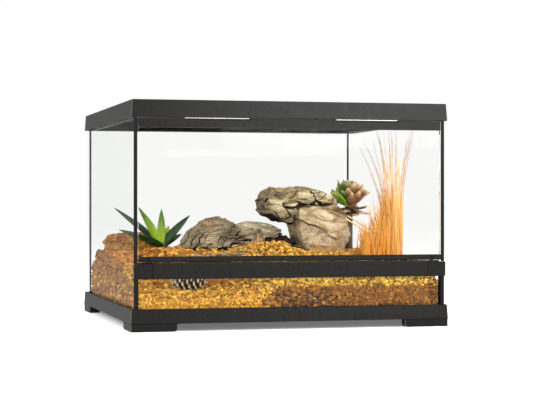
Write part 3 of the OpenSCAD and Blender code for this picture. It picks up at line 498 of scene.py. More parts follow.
# ---------------------------------------------------------------- frames
eased("base_frame", 0.0008, BLACK_PLASTIC, highlight=0.6)
eased("top_frame", 0.0010, BLACK_PLASTIC, cuts=(-0.165, 0, 0.165), highlight=1.0)
eased("vent_cover", 0.0006, RAIL_PLASTIC, highlight=0.7, up=(0.3, 1.1))
for node in ("hinge_block_left", "hinge_block_right"):
    eased(node, 0.0004, BLACK_PLASTIC)
eased("door_bottom_rail", 0.0005, RAIL_PLASTIC, "door", cuts=(-0.206, 0, 0.206))
eased("door_top_rail", 0.0005, RAIL_PLASTIC, "door", cuts=(-0.109, 0, 0.109), highlight=0.5, up=(-1.1, -0.3))
eased("lid_frame", 0.0005, POWDER_COAT, "lid", "lid_metal")
for side in ("left", "right"):
    eased("lid_latch_" + side, 0.0003, BLACK_PLASTIC, "latch_" + side)
    eased("cable_gate_" + side, 0.0003, BLACK_PLASTIC, "gate_" + side)

# the net in the lid, wires of one way under those of the other
NET_WIRES = 150               # gaps each way
WIRE_WIDE, WIRE_THICK = 0.0006, 0.0005
LAYER_RISE = 0.0002           # of each layer's middle, from the net's
net_low, net_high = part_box("lid_screen")
bm = bmesh.new()
bmesh.ops.create_cube(bm, size=1)
wire = as_mesh("net_wire", bm)
net_bits = []
net_half = net_high.x
net_level = 0.5 * (net_low.z + net_high.z)
for number in range(NET_WIRES + 1):
    offset = (number / NET_WIRES - 0.5) * 2 * (net_half - 0.5 * WIRE_WIDE)
    for point, size in (((offset, 0, net_level - LAYER_RISE), (WIRE_WIDE, 2 * net_half, WIRE_THICK)),
                        ((0, offset, net_level + LAYER_RISE), (2 * net_half, WIRE_WIDE, WIRE_THICK))):
        place = Matrix.Translation(point) @ Matrix.Diagonal((*size, 1))
        net_bits.append((wire, place, (0.02, 0.02, 0.02)))
heap_piece("lid_net", net_bits, NET_COAT, "lid", "lid_metal", "lid_screen")


# ---------------------------------------------------------------- bedding
CORE_SHARE = 0.982            # breadth of the solid core under the chips
TOP_REACH = 0.2155            # chips on the top lie within this of the middle
SIDE_REACH = 0.2185           # and those against the panes within this
SECTION_FROM = -0.035         # X from which the front pane shows brown bedding under a pale skin
GOLD = (colour(214, 158, 64), colour(196, 134, 42), colour(234, 186, 94), colour(172, 108, 32),
        colour(206, 146, 52))
PALE = (colour(238, 200, 118), colour(228, 180, 90), colour(246, 216, 144), colour(212, 160, 70))
BROWN = (colour(124, 80, 28), colour(152, 100, 38), colour(94, 58, 22), colour(172, 120, 52),
         colour(136, 86, 28))
DARK = (colour(54, 36, 18), colour(76, 48, 24), colour(42, 28, 16))
ORANGE = (colour(198, 120, 32), colour(178, 100, 24), colour(214, 144, 50), colour(150, 80, 18))
EARTH = (colour(176, 122, 50), colour(148, 96, 34), colour(198, 148, 72), colour(124, 76, 24),
         colour(166, 110, 42))
# the core shows in the gaps between the chips: its darker colours, darkest at its foot, are painted shade
# in those gaps
CORE_FOOT, CORE_TOP = colour(84, 52, 20), colour(146, 94, 30)


def picked(*palettes):
    """A colour of the palettes, lighter or darker by chance."""
    light = chance.uniform(0.40, 0.94)
    red, green, blue = chance.choice(sum(palettes, ()))
    return 1.1 * light * red, light * green, 0.45 * light * blue


bed = solid_tree("substrate_bed")
covers = [solid_tree(n) for n in ("bark_mound", "weathered_log", "boulder", "pine_cone")]
bed_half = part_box("substrate_bed")[1].x


def dropped(tree, x, y):
    """Where a thing let go above the tank's furnishings lands on a solid."""
    return tree.ray_cast(Vector((x, y, ABOVE_ALL)), Vector((0, 0, -1)))[0]


def bed_height(x, y):
    hit = dropped(bed, x, y)
    return hit.z if hit else BED_FLOOR


def covered(x, y):
    return any(dropped(cover, x, y) for cover in covers)


bm = cad_copy("substrate_bed")
bmesh.ops.scale(bm, vec=(CORE_SHARE, CORE_SHARE, 1), verts=bm.verts)
bed_stain = bm.verts.layers.float_color.new("stain")
for v in bm.verts:
    if v.co.z > BED_FLOOR + 0.001:
        v.co.z -= 0.002
    # painted shade: the core is darker at its foot than at its top
    v[bed_stain] = (*(CORE_FOOT if v.co.z < BED_FLOOR + 0.001 else CORE_TOP), 1)
piece("bedding_core", bm, BEDDING, "tank", "bedding", "substrate_bed")

chips = chip_shapes(12, 0.3, 1)
chunks = chip_shapes(8, 0.32, 2)


def section(x, z):
    """Size and colour behind the front pane: gold at the left, a pale skin over brown at the right."""
    below = 0.0600 + chance.uniform(-0.002, 0.002)
    if x + chance.uniform(-0.02, 0.02) < SECTION_FROM:
        return chance.triangular(0.0016, 0.0052, 0.0024), picked(GOLD, PALE[:2], BROWN[3:4])
    if z > below:
        return chance.triangular(0.0012, 0.0034, 0.0018), picked(PALE, GOLD[:1], PALE)
    return chance.triangular(0.0012, 0.0034, 0.0018), picked(BROWN, BROWN[3:4], BROWN[1:2], GOLD[3:4])


def left_chunks():
    """Coarse bark against the left pane."""
    bits = []
    for number in range(170):
        size, y = chance.uniform(0.0045, 0.0085), chance.uniform(-0.210, 0.205)
        z = chance.uniform(BED_FLOOR + 0.008, bed_height(-0.215, y) - 0.008)
        stain_from = (EARTH, PALE[1:], ORANGE[:1], DARK[1:2])
        bits.append((chance.choice(chunks), tumbled((size - bed_half, y, z), size), picked(*stain_from)))
    return bits


def corner_chips():
    """A close column of chips up the front pane's right edge."""
    bits = []
    for number in range(260):
        size = chance.uniform(0.0016, 0.0026)
        x, y = bed_half - size, size - bed_half + chance.uniform(0, 0.012)
        z = chance.uniform(BED_FLOOR + 0.002, 0.066)
        stain = picked(PALE, GOLD) if z > 0.061 else picked(BROWN, BROWN[3:4])
        bits.append((chance.choice(chips), tumbled((x, y, z), size), stain))
    return bits


def front_chunks():
    """Coarse brown bark behind the front pane, in loose rows that get finer to the right."""
    bits = []
    for column in range(12):
        for row in range(4):
            x = SECTION_FROM + 0.010 + 0.0088 * column + chance.uniform(-0.0025, 0.0025)
            size = chance.uniform(0.0034, 0.0056) * (1 - 0.025 * column)
            z = BED_FLOOR + 0.0055 + 0.0078 * row + 0.004 * (column % 2) + chance.uniform(-0.002, 0.002)
            bits.append((chance.choice(chunks), tumbled((x, size - bed_half, min(z, 0.056)), size),
                         picked(BROWN[1:2], BROWN[3:], BROWN[:1])))
    return bits


def bed_side(wall, count):
    """Chips behind a pane. Half of them lie deeper and are painted darker, as shade in the crevices between
    the others.
    """
    bits = []
    for number in range(count):
        deep = number % 2
        along = chance.uniform(-SIDE_REACH, SIDE_REACH)
        z = chance.uniform(BED_FLOOR + 0.002, bed_height(along, -0.2175) if wall == "front" else 0.11)
        size, stain = chance.triangular(0.0016, 0.0046, 0.0022), picked(EARTH)
        if wall == "front":
            size, stain = section(along, z)
            if SECTION_FROM + 0.005 < along + chance.uniform(-0.014, 0.014) < 0.068 and z < 0.054:
                size, stain, deep = 0.0022, picked(DARK, BROWN[2:3]), 1
        elif wall == "left" and z < 0.05:
            stain = picked(EARTH, ORANGE)
        # painted shade: the deeper chips are darkened to half, as the shade in the crevices
        if deep:
            size, stain = size * 0.8, tuple(0.5 * c for c in stain)
        along = max(size - bed_half, min(bed_half - size, along))
        inset = bed_half - size - (0.0026 if deep else chance.uniform(0, 0.0012))
        x, y = {"front": (along, -inset), "left": (-inset, along),
                "right": (inset, along), "rear": (along, inset)}[wall]
        if z < bed_height(x, y) - 0.3 * size:
            bits.append((chance.choice(chips), tumbled((x, y, z), size), stain))
    if wall == "left":
        bits += left_chunks()
    if wall == "front":
        bits += corner_chips()
        bits += front_chunks()
    heap_piece("bedding_" + wall, bits, BEDDING, "tank", "bedding")


for wall, count in (("front", 5200), ("left", 4200), ("right", 2600), ("rear", 2600)):
    bed_side(wall, count)

top_bits = []
while len(top_bits) < 9000:
    x = chance.uniform(-TOP_REACH, TOP_REACH)
    y = -TOP_REACH + 2 * TOP_REACH * chance.random() ** 1.25
    if covered(x, y):
        continue
    size = chance.triangular(0.0015, 0.0046, 0.0024)
    z = bed_height(x, y) + size * chance.uniform(-0.5, 0.35)
    stain = picked(ORANGE, GOLD) if x < -0.09 and y > -0.06 else picked(PALE, GOLD, GOLD, BROWN[3:4])
    # painted light: near the front at the right, the top chips are a quarter brighter, against the shade of
    # the vent cover
    if y < -0.15 and x > SECTION_FROM:
        stain = tuple(1.25 * c for c in picked(PALE))
    top_bits.append((chance.choice(chips), tumbled((x, y, z), size), stain))
heap_piece("bedding_top", top_bits, BEDDING, "tank", "bedding")


LUMP_LEVEL = 0.106            # middle of the lump in the heap of painted shadow


def heap_up(name, count, middle, reach, height, sizes, *palettes, lump=None):
    """A low heap of chips on the bed, filled from the bed up. A heap with a lump reaches under the
    stones: lump is the half sizes of the solid in its middle."""
    bits = []
    while len(bits) < count:
        x, y = (centre + chance.uniform(-half, half) for centre, half in zip(middle, reach))
        across, along = (x - middle[0]) / reach[0], (y - middle[1]) / reach[1]
        rise = height * max(0.0, 1 - across ** 2) * max(0.0, 1 - along ** 2)
        if lump or not covered(x, y):
            place = (x, y, bed_height(x, y) + rise * 0.75 * chance.random() ** 0.5)
            bits.append((chance.choice(chips), tumbled(place, chance.triangular(*sizes)),
                         picked(*palettes)))
    if lump:
        place = Matrix.Translation((*middle, LUMP_LEVEL)) @ Matrix.Diagonal((*lump, height, 1))
        bits.append((chunks[0], place, DARK[2]))
    heap_piece(name, bits, BEDDING, "tank", "bedding")


heap_up("bedding_drift", 1100, (-0.004, -0.112), (0.054, 0.038), 0.016, (0.0016, 0.0040, 0.0022),
        PALE, GOLD, GOLD)
# painted shadow: dark chips and a dark lump fill the shaded hollow between the log and the boulder
heap_up("painted_shadow_heap", 900, (0.031, -0.026), (0.034, 0.028), 0.037, (0.0024, 0.0042, 0.0032),
        DARK, lump=(0.031, 0.021))


# ---------------------------------------------------------------- stones and wood
def cleft(value, width):
    """1 in the middle of a crevice, 0 outside it."""
    return max(0.0, 1 - abs(value) / width)


def shingle(value):
    """Overlapping layers: rises slowly to 1 through each whole number, then drops to 0."""
    return value - math.floor(value)


def from_line(x, z, points):
    """Distance of a place from a broken line, and its height above the nearest stretch."""
    best = (1.0, 0.0)
    for (x0, z0), (x1, z1) in zip(points, points[1:]):
        run, rise = x1 - x0, z1 - z0
        share = min(1, max(0, ((x - x0) * run + (z - z0) * rise) / (run * run + rise * rise)))
        away = math.hypot(x - x0 - share * run, z - z0 - share * rise)
        best = min(best, (away, z - z0 - share * rise))
    return best


def ragged(point, scale, depth):
    """Noise folded into ridges, for broken surfaces."""
    folded = 1 - 2 * abs(noise.noise(point * scale))
    return depth * (folded * folded - 0.4)


log_low, log_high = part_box("weathered_log")
slab_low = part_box("rock_slab")[0]
boulder_low, boulder_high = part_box("boulder")
# the joint between slab and boulder as X and Z, and a crack that forks up from it, both carved in and given
# painted shade
SEAT = ((0.030, 0.1715), (0.040, 0.1700), (0.052, 0.1730), (0.066, 0.1725), (0.077, 0.1800),
        (0.085, 0.1770))
SEAT_FORK = ((0.077, 0.1800), (0.073, 0.1895))


def carve_log(point, normal):
    share = (point.x - log_low.x) / (log_high.x - log_low.x)
    slope = 0.68 * (share - 0.5 * share * share) * (log_high.x - log_low.x)
    flow = ((point.z - slope) * 120 + 1.3 * noise.noise(Vector((point.x * 22, point.y * 30, point.z * 50)))
            + 0.5 * noise.noise(point * 90))
    layer = shingle(flow)
    edge = max(cleft(layer, 0.20), cleft(layer - 1, 0.10)) * max(0.0, 0.55 + 1.5 * noise.noise(point * 34))
    fibres = noise.noise(Vector((point.x * 70, point.y * 150, flow * 6)))
    lumps = noise.noise(point * 30)
    side = max(0.25, 1 - abs(normal.z))
    shoulder = max(0.0, 1 - ((point.x + 0.014) / 0.036) ** 2) * max(0.0, normal.z)
    crack = cleft(noise.noise(Vector((point.x * 20 + point.z * 9, point.y * 26, flow * 1.3))), 0.11) * side
    height = (0.0034 * lumps + side * (0.0080 * (layer ** 0.7 - 0.5) - 0.0050 * edge) + 0.0014 * fibres
              - 0.0030 * crack + ragged(point, 60, 0.0012) + 0.0060 * shoulder)
    # painted shade on the cleft edges, in the cracks and on the undersides
    under = 0.8 if normal.z < -0.3 else 0.0
    return height, max(edge ** 1.2 * side, 0.9 * crack, under), 0.30 + 1.1 * noise.noise(point * 30)


def carve_slab(point, normal):
    side = max(0.0, 1 - abs(normal.z) * 1.3)
    flow = (point.z - 0.10 * point.x) * 72 + 0.9 * noise.noise(point * 22)
    layer = shingle(flow)
    edge = max(cleft(layer, 0.14), cleft(layer - 1, 0.08)) * side
    lumps = noise.noise(point * 24 + Vector((3, 1, 0)))
    dents = noise.noise(Vector((point.x * 60 + point.z * 60, point.y * 45, point.z * 110 - point.x * 40)))
    pits = noise.noise(point * 170)
    crack = cleft(noise.noise(Vector((point.x * 34, point.y * 34, flow * 1.1))), 0.07)
    front = normal.y < 0.2
    seat = max(cleft(from_line(point.x, point.z, SEAT)[0], 0.0030),
               cleft(from_line(point.x, point.z, SEAT_FORK)[0], 0.0016)) * front
    height = (0.0050 * lumps + 0.0036 * side * (layer - 0.5) - 0.0026 * edge + 0.0022 * dents
              + 0.0012 * pits + ragged(point, 40, 0.0022) - 0.0022 * crack - 0.0030 * seat)
    # painted shade on the layer edges, in the cracks, in the joint with the boulder and on the undersides
    painted_shade = max(0.7 * edge ** 1.5, 0.8 * crack, seat, 0.9 * (normal.z < -0.6))
    # darker towards the bottom of the slab and at its left end: the lower part is partly browner stone,
    # partly painted shade of its lower side
    low = (0.174 - point.z) / 0.012 + 0.9 * lumps + 0.6 * pits
    return height, painted_shade, max(low, 1 - (point.x - slab_low.x) / 0.016)


def carve_boulder(point, normal):
    left, top = boulder_low.x, boulder_high.z
    seam = ((left - 0.004, top - 0.014), (left + 0.006, top - 0.018), (left + 0.022, top - 0.029),
            (left + 0.032, top - 0.031), (left + 0.052, top - 0.044), (left + 0.070, top - 0.053),
            (left + 0.076, top - 0.049))
    wander = 0.0015 * noise.noise(point * 70)
    away, above = from_line(point.x + 0.009, point.z + wander, seam)
    front = max(0.0, min(1.0, -2.5 * normal.y))
    gap = cleft(away, 0.0016) * front * min(1.0, 0.75 + noise.noise(point * 60))
    step = 0.0026 * front * (1 if above > 0 else -0.6) * min(1, away / 0.002) * max(0.0, 1 - away / 0.035)
    lumps = noise.noise(point * 19 + Vector((0, 4, 2)))
    facets = noise.voronoi(point * 21)[0]
    flow = shingle((point.z + 0.55 * point.x) * 60 + 0.8 * noise.noise(point * 26))
    seat = cleft(from_line(point.x, point.z, SEAT)[0], 0.0040) * front
    corner = max(0.0, 1 - (point.x - left) / 0.026) * max(0.0, 1 - (point.z - 0.102) / 0.034)
    corner += max(0.0, 1 - (boulder_high.x - point.x) / 0.014) * max(0.0, 1 - abs(point.z - 0.108) / 0.012)
    height = (0.0052 * lumps + 0.0050 * (min(facets[1] - facets[0], 0.5) - 0.25)
              + 0.0016 * (flow - 0.5) * (above > 0) + ragged(point, 55, 0.0012)
              + 0.0007 * noise.noise(point * 190) + step - 0.0042 * gap - 0.0022 * seat
              - 0.012 * min(1, corner))
    # painted shade in the crack and in the joint under the slab
    return height, max(gap, seat ** 2), 0.25 * (above < 0) + 0.5 * noise.noise(point * 24)


def carve_mound(point, normal):
    lumps = noise.noise(point * 45)
    crumbs = noise.noise(point * 260)
    waist = cleft((point.z - 0.113) + 0.004 * noise.noise(point * 40), 0.006)
    return 0.0045 * lumps + 0.0018 * crumbs - 0.0035 * waist, 0.0, 0.0


carved("weathered_log", "driftwood_log", 0.0012, carve_log, GREY_WOOD, "grey_wood")
carved("rock_slab", "upper_slab", 0.0013, carve_slab, SLAB_STONE, "stone")
carved("boulder", "lower_boulder", 0.0013, carve_boulder, BOULDER_STONE, "stone")
carved("bark_mound", "bark_lump", 0.0016, carve_mound, MOUND_BARK, "bark")

mound_tree = solid_tree("bark_mound")
mound_low, mound_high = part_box("bark_mound")
crumb_bits = []
for number in range(3400):
    x = chance.uniform(mound_low.x, mound_high.x)
    y = chance.uniform(mound_low.y, mound_high.y)
    hit = dropped(mound_tree, x, y)
    if hit is None:
        continue
    size = chance.triangular(0.0009, 0.0030, 0.0014)
    crumb_bits.append((chance.choice(chips), tumbled(hit, size), picked(EARTH, ORANGE[:2])))
heap_piece("lump_crumbs", crumb_bits, BEDDING, "tank", "bark")


# ---------------------------------------------------------------- plants
def spiky_plant():
    """Thick pointed leaves round a short stem."""
    foot = Vector((-0.147, -0.010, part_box("spiky_plant")[0].z + 0.004))
    # painted light and shade: some leaves get the light green and others the dark green, as lit and shaded
    # leaves
    bright, deep, yellow = colour(136, 162, 16), colour(22, 50, 12), colour(62, 98, 18)
    bm, stain = seedling()
    # turn round the stem, lean, length, roll, colour at the root and at the tip
    leaves = (
        (143, 50, 0.098, 66, deep, deep), (152, 66, 0.070, 60, deep, deep),
        (180, 27, 0.068, 62, bright, yellow), (200, 64, 0.050, 40, deep, deep),
        (262, 1, 0.056, 10, bright, yellow), (2, 40, 0.064, 64, deep, deep),
        (20, 60, 0.040, 40, deep, deep), (60, 46, 0.046, 20, deep, bright),
        (215, 74, 0.034, 30, deep, deep),
    )
    steps = 9
    for turn, lean, length, roll, root, tip in leaves:
        places = bend(foot, math.radians(turn), math.radians(lean), math.radians(8), length, steps)
        places = [place @ Matrix.Rotation(math.radians(roll), 4, "Z") for place in places]
        sizes, shades = [], []
        for step in range(steps + 1):
            share = step / steps
            wide = 0.0072 * (0.75 + 0.7 * share - 1.42 * share ** 2.2) + 0.0003
            sizes.append((0.24 * wide, wide))
            shades.append(blend_stain(root, tip, share * 1.2))
        grow(bm, stain, places, sizes, shades, 10)
    grown("spiky_leaves", bm, SPIKY_SKIN, "leaf_green", "spiky_plant", smooth=True)


def rosette_plant():
    """Spoon-shaped leaves in a spiral: fresh green ones at the left, old red-brown ones at the right
    and below."""
    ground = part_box("rosette_plant")[0].z
    crown = Vector((0.160, 0.022, 0.183))
    fresh, green = colour(128, 172, 30), colour(54, 96, 26)
    old, rust, cream = colour(132, 92, 62), colour(122, 62, 36), colour(214, 184, 136)
    bm, stain = seedling()
    stem = bend((crown.x, crown.y, ground), 0, 0, 0, crown.z + 0.010 - ground, 6)
    grow(bm, stain, stem, [(0.006, 0.006)] * 7, [colour(70, 52, 34)] * 7, 10)
    leaves, steps = 76, 9
    for number in range(leaves):
        age = 1 - number / leaves
        turn = number * SPIRAL_TURN
        lean = math.radians(12 + (70 * age ** 0.9 if age < 0.86 else 98) + chance.uniform(-12, 12))
        length = 0.014 + 0.023 * min(1, 1.7 * age) + chance.uniform(-0.002, 0.003)
        root = crown + Vector((0, 0, 0.012 * (1 - age) - 0.016 * age))
        places = bend(root, turn, lean, math.radians(chance.uniform(-44, -8)), length, steps)
        tip = places[-1].translation
        left = (crown.x - tip.x) * 40 + (tip.z - crown.z - 0.012) * 34 + chance.uniform(-0.35, 0.35)
        body = chance.choice((fresh, green, green)) if left > 0.55 else chance.choice((old, rust, old))
        if age > 0.86:
            body = blend_stain(body, colour(60, 42, 28), 0.7)
        tip_shade = blend_stain(cream, body, 0.5) if left > 0.55 else cream
        half = length * (chance.uniform(0.28, 0.36) if age < 0.5 else chance.uniform(0.20, 0.26))
        sizes, shades = [], []
        for step in range(steps + 1):
            share = step / steps
            wide = half * max(0.24, math.sin(math.pi * min(0.95, share ** 1.5)))
            sizes.append((0.0015 + 0.0009 * (1 - share), wide))
            shades.append(blend_stain(body, tip_shade, (share - 0.74) * 3.4))
        grow(bm, stain, places, sizes, shades, 10)
    grown("rosette_leaves", bm, ROSETTE_SKIN, "leaf_brown_green", "rosette_plant", smooth=True)


def stalk(bm, stain, foot, tip, sway, thick, shades):
    """A thin stem from foot to tip that bends away from upright in its upper half."""
    steps = 8
    places, sizes, tints = [], [], []
    for step in range(steps + 1):
        share = step / steps
        out = 0.25 * share + 0.75 * max(0.0, (share - 0.42) / 0.58) ** 1.6
        x = foot[0] + (tip[0] - foot[0]) * out + sway * math.sin(share * 7 + foot[0] * 900)
        y = foot[1] + (tip[1] - foot[1]) * out
        places.append(Matrix.Translation((x, y, foot[2] + (tip[2] - foot[2]) * share)))
        sizes.append((thick * (1 - 0.6 * share),) * 2)
        tints.append(blend_stain(*shades, share))
    grow(bm, stain, places, sizes, tints, 4)


def grass_tuft():
    """A dense trunk of dry stems, a few long ones that fan out above it, and a short orange skirt at
    its left."""
    low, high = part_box("grass_tuft")
    middle = Vector((0.176, -0.149, low.z + 0.002))
    gold, straw, pale = colour(224, 150, 50), colour(220, 168, 84), colour(236, 196, 124)
    rust, brown = colour(192, 108, 30), colour(160, 100, 44)
    bm, stain = seedling()
    # the long stems: how far along X each one's tip leans, and its share of the height
    fan = ((-0.036, 1), (-0.025, 1), (-0.014, 1), (-0.008, 1), (-0.003, 1), (0.004, 1), (0.017, 0.98),
           (0.026, 0.99), (0.031, 1), (-0.050, 0.87), (-0.042, 0.91), (-0.034, 0.70), (-0.028, 0.58),
           (0.010, 0.72))
    for reach, rise in fan:
        for twin in range(2):
            spread = chance.uniform(-0.004, 0.004)
            foot = middle + Vector((0.3 * reach + spread, chance.uniform(-0.010, 0.010), 0))
            tip = (middle.x + reach + chance.uniform(-0.003, 0.003), foot.y + chance.uniform(-0.012, 0.012),
                   low.z + (high.z - low.z - 0.003) * rise * (1 - 0.06 * twin))
            stalk(bm, stain, foot, tip, 0.0009, 0.00055, (gold, brown))
    for number in range(150):
        turn, share = chance.uniform(0, FULL_TURN), math.sqrt(chance.random())
        spread = Vector((0.0165 * share * math.cos(turn) - 0.002, 0.0150 * share * math.sin(turn), 0))
        foot = middle + spread
        rise = chance.uniform(0.42, 0.80) if number < 90 else chance.uniform(0.25, 0.5)
        tip = (foot.x + chance.uniform(-0.004, 0.003), foot.y + chance.uniform(-0.004, 0.004),
               low.z + (high.z - low.z) * rise)
        thick = chance.uniform(0.0004, 0.00065)
        stalk(bm, stain, foot, tip, 0.0006, thick, (chance.choice((gold, straw, rust)), pale))
    for number in range(520):
        share = chance.random() ** 1.3
        foot = Vector((middle.x - 0.050 * share, middle.y + chance.uniform(-0.014, 0.022), low.z + 0.001))
        rise = chance.uniform(0.05, 0.62 - 0.40 * share) * (high.z - low.z)
        tip = (foot.x + chance.uniform(-0.014, 0.012), foot.y + chance.uniform(-0.010, 0.010), low.z + rise)
        thick = chance.uniform(0.0004, 0.0007)
        shades = (chance.choice((rust, gold, gold)), chance.choice((straw, gold)))
        stalk(bm, stain, foot, tip, 0.0010, thick, shades)
    grown("grass_stems", bm, STRAW, "dry_grass", "grass_tuft")


def stray_stalks():
    """Dry twigs in front of the stones, and loose pale stalks that lie against them."""
    bm, stain = seedling()
    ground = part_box("dry_twigs")[0].z - 0.002
    brown, pale = colour(150, 104, 66), colour(196, 152, 104)
    for number in range(15):
        turn = chance.uniform(0, FULL_TURN)
        foot = (-0.018 + chance.uniform(-0.007, 0.007), -0.093 + chance.uniform(-0.004, 0.004), ground)
        length = chance.uniform(0.014, 0.027)
        lean, curl = math.radians(chance.uniform(4, 24)), math.radians(chance.uniform(-20, 20))
        places = bend(foot, turn, lean, curl, length, 5)
        sizes = [(0.0011 * (1.1 - s / 6), 0.0013 * (1.1 - s / 6)) for s in range(6)]
        shade = blend_stain(brown, pale, chance.random())
        grow(bm, stain, places, sizes, [shade] * 6, 5)
    grown("twig_bunch", bm, OLD_BARK, "bark", "dry_twigs")
    bm, stain = seedling()
    straw = blend_stain(pale, colour(242, 214, 150), 0.7)
    ends = (((0.168, -0.092, 0.131), (0.126, -0.080, 0.158)),
            ((0.158, -0.098, 0.128), (0.121, -0.088, 0.154)),
            ((0.136, -0.106, 0.103), (0.150, -0.088, 0.131)),
            ((0.150, -0.110, 0.104), (0.140, -0.090, 0.124)))
    for foot, tip in ends:
        along = Vector(tip) - Vector(foot)
        aim = along.to_track_quat("Z", "Y").to_matrix().to_4x4()
        places = [Matrix.Translation(Vector(foot) + along * s / 4) @ aim for s in range(5)]
        grow(bm, stain, places, [(0.0009, 0.0011)] * 5, [straw] * 5, 6)
    grown("pale_stalks", bm, STRAW, "dry_grass")


def pine_cone():
    """Overlapping dark scales with pale tips round a core."""
    low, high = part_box("pine_cone")
    middle = 0.5 * (low + high)
    reach = 0.5 * (high - low)
    dark, pale = colour(34, 22, 14), colour(230, 200, 150)
    bm, stain = seedling()
    bmesh.ops.create_icosphere(bm, subdivisions=3, radius=1)
    bmesh.ops.scale(bm, vec=(0.82 * reach.x, 0.74 * reach.y, 0.74 * reach.z), verts=bm.verts)
    bmesh.ops.translate(bm, vec=middle, verts=bm.verts)
    for v in bm.verts:
        v[stain] = (*dark, 1)
    scales, wide = 64, 0.0046
    girths = [(0.0009, wide * 0.5), (0.0012, wide), (0.0016, wide * 0.9), (0.0007, wide * 0.35)]
    shades = [dark, dark, blend_stain(dark, pale, 0.45), pale]
    for number in range(scales):
        share = (number + 0.5) / scales
        turn = number * SPIRAL_TURN
        lift = math.acos(1 - 2 * share)
        out = Vector((math.cos(lift), math.sin(lift) * math.cos(turn), math.sin(lift) * math.sin(turn)))
        seat = middle + Vector((out.x * reach.x * 0.74, out.y * reach.y * 0.68, out.z * reach.z * 0.66))
        facing = (out + Vector((-0.75, 0, 0))).normalized()
        place = Matrix.Translation(seat) @ facing.to_track_quat("Z", "Y").to_matrix().to_4x4()
        ends = [place @ Matrix.Translation((0, 0, reach.z * 0.34 * s / 3)) for s in range(4)]
        grow(bm, stain, ends, girths, shades, 6)
    for v in bm.verts:
        v.co.z = max(v.co.z, low.z - 0.001)
        v.co.y = max(v.co.y, CONE_FRONT)
    grown("cone_scales", bm, SCALES, "bark", "pine_cone")


def bark_flakes():
    """Slightly curled strips of bark on the bedding."""
    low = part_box("bark_flake")[0]
    grey, brown = colour(150, 128, 92), colour(104, 78, 50)
    bm, stain = seedling()
    # foot, turn, lean, length and width of each strip, the CAD flake's first
    strips = (((low.x, -0.109, low.z + 0.001), 2, 84, 0.052, 0.0075),
              ((-0.128, -0.127, 0.0985), -6, 87, 0.036, 0.0050),
              ((-0.082, -0.128, 0.1025), 8, 86, 0.044, 0.0045),
              ((-0.060, -0.118, 0.106), -12, 84, 0.030, 0.0040))
    for foot, turn, lean, length, wide in strips:
        places = bend(foot, math.radians(turn), math.radians(lean), math.radians(10), length, 8)
        widths = [wide * (0.45 + 0.55 * math.sin(math.pi * (s + 1) / 10)) for s in range(9)]
        sizes = [(0.0016 + 0.0008 * math.sin(s * 1.7), width) for s, width in enumerate(widths)]
        shades = [blend_stain(brown, grey, 0.5 + 0.5 * math.sin(s * 2.1)) for s in range(9)]
        grow(bm, stain, places, sizes, shades, 8)
    grown("bark_strips", bm, OLD_BARK, "bark", "bark_flake")


spiky_plant()
rosette_plant()
grass_tuft()
stray_stalks()
pine_cone()
bark_flakes()


# ---------------------------------------------------------------- studio
def seen_rays(tree):
    """1 for the rays that show the background in the picture, in gloss and through glass."""
    path = tree.nodes.new("ShaderNodeLightPath")
    value = path.outputs["Is Camera Ray"]
    for name in ("Is Glossy Ray", "Is Transmission Ray"):
        larger = tree.nodes.new("ShaderNodeMath")
        larger.operation = "MAXIMUM"
        tree.links.new(value, larger.inputs[0])
        tree.links.new(path.outputs[name], larger.inputs[1])
        value = larger.outputs[0]
    return value


world = bpy.data.worlds.new("studio")
scene.world = world
world.use_nodes = True
tree = world.node_tree
shown = tree.nodes["Background"]
shown.inputs["Color"].default_value = (1, 1, 1, 1)
shown.inputs["Strength"].default_value = 1.0
fill = tree.nodes.new("ShaderNodeBackground")
fill.inputs["Color"].default_value = (1, 1, 1, 1)
fill.inputs["Strength"].default_value = 0.36
choice = tree.nodes.new("ShaderNodeMixShader")
tree.links.new(seen_rays(tree), choice.inputs[0])
tree.links.new(fill.outputs[0], choice.inputs[1])
tree.links.new(shown.outputs[0], choice.inputs[2])
tree.links.new(choice.outputs[0], tree.nodes["World Output"].inputs[0])

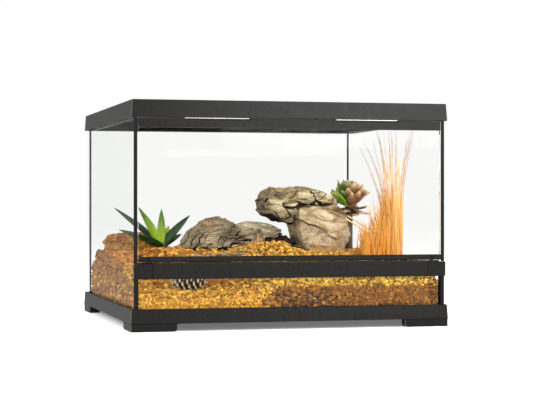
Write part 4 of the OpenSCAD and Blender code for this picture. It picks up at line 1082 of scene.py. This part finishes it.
bm = bmesh.new()
bmesh.ops.create_grid(bm, x_segments=1, y_segments=1, size=9)
floor = put("studio_floor", as_mesh("studio_floor", bm))
pale_floor = Finish("pale_floor", Roughness=1.0, Specular_IOR_Level=0.0)
pale_floor.set(Base_Color=pale_floor.mix(pale_floor.noise(2, 2), (0.80, 0.80, 0.80), (0.82, 0.82, 0.82)))
parts = pale_floor.node("SeparateXYZ", {"Vector": pale_floor.place}).outputs
across, along = (pale_floor.sum(parts[axis], 0, "ABSOLUTE") for axis in ("X", "Y"))
# painted shadow: the floor glows less under the tank than round it
strength = pale_floor.ramp(pale_floor.sum(across, along, "MAXIMUM"), (0.205, 0.16), (0.235, 0.71))
glow = pale_floor.node("Emission", {"Color": (1, 1, 1), "Strength": strength})
none = pale_floor.node("Emission", {"Color": (0, 0, 0), "Strength": 0.0})
lit = pale_floor.node("MixShader", {0: seen_rays(pale_floor.tree)})
both = pale_floor.node("AddShader", {})
pale_floor.tree.links.new(none.outputs[0], lit.inputs[1])
pale_floor.tree.links.new(glow.outputs[0], lit.inputs[2])
pale_floor.tree.links.new(pale_floor.shader.outputs[0], both.inputs[0])
pale_floor.tree.links.new(lit.outputs[0], both.inputs[1])
pale_floor.tree.links.new(both.outputs[0], pale_floor.tree.nodes["Material Output"].inputs[0])
floor.data.materials.append(pale_floor.material)


def softbox(name, place, target, width, height, power):
    light = bpy.data.lights.new(name, "AREA")
    light.shape = "RECTANGLE"
    light.size = width
    light.size_y = height
    light.energy = power
    lamp = put(name, light)
    lamp.location = place
    lamp.rotation_euler = (Vector(target) - Vector(place)).to_track_quat("-Z", "Y").to_euler()


softbox("left_softbox", (-2.0, -0.8, 1.3), (0, 0, 0.15), 1.4, 1.4, 20)
softbox("front_softbox", (-0.7, -2.6, 0.36), (0, 0, 0.15), 1.0, 0.6, 12)
softbox("side_softbox", (2.1, -0.4, 1.0), (0, 0, 0.15), 0.8, 0.8, 16)
softbox("top_softbox", (0.3, -0.6, 2.2), (0, 0, 0.1), 1.6, 1.6, 38)
softbox("right_softbox", (0.86, -2.4, 0.80), (0.1, -0.2, 0.25), 0.95, 0.95, 30)
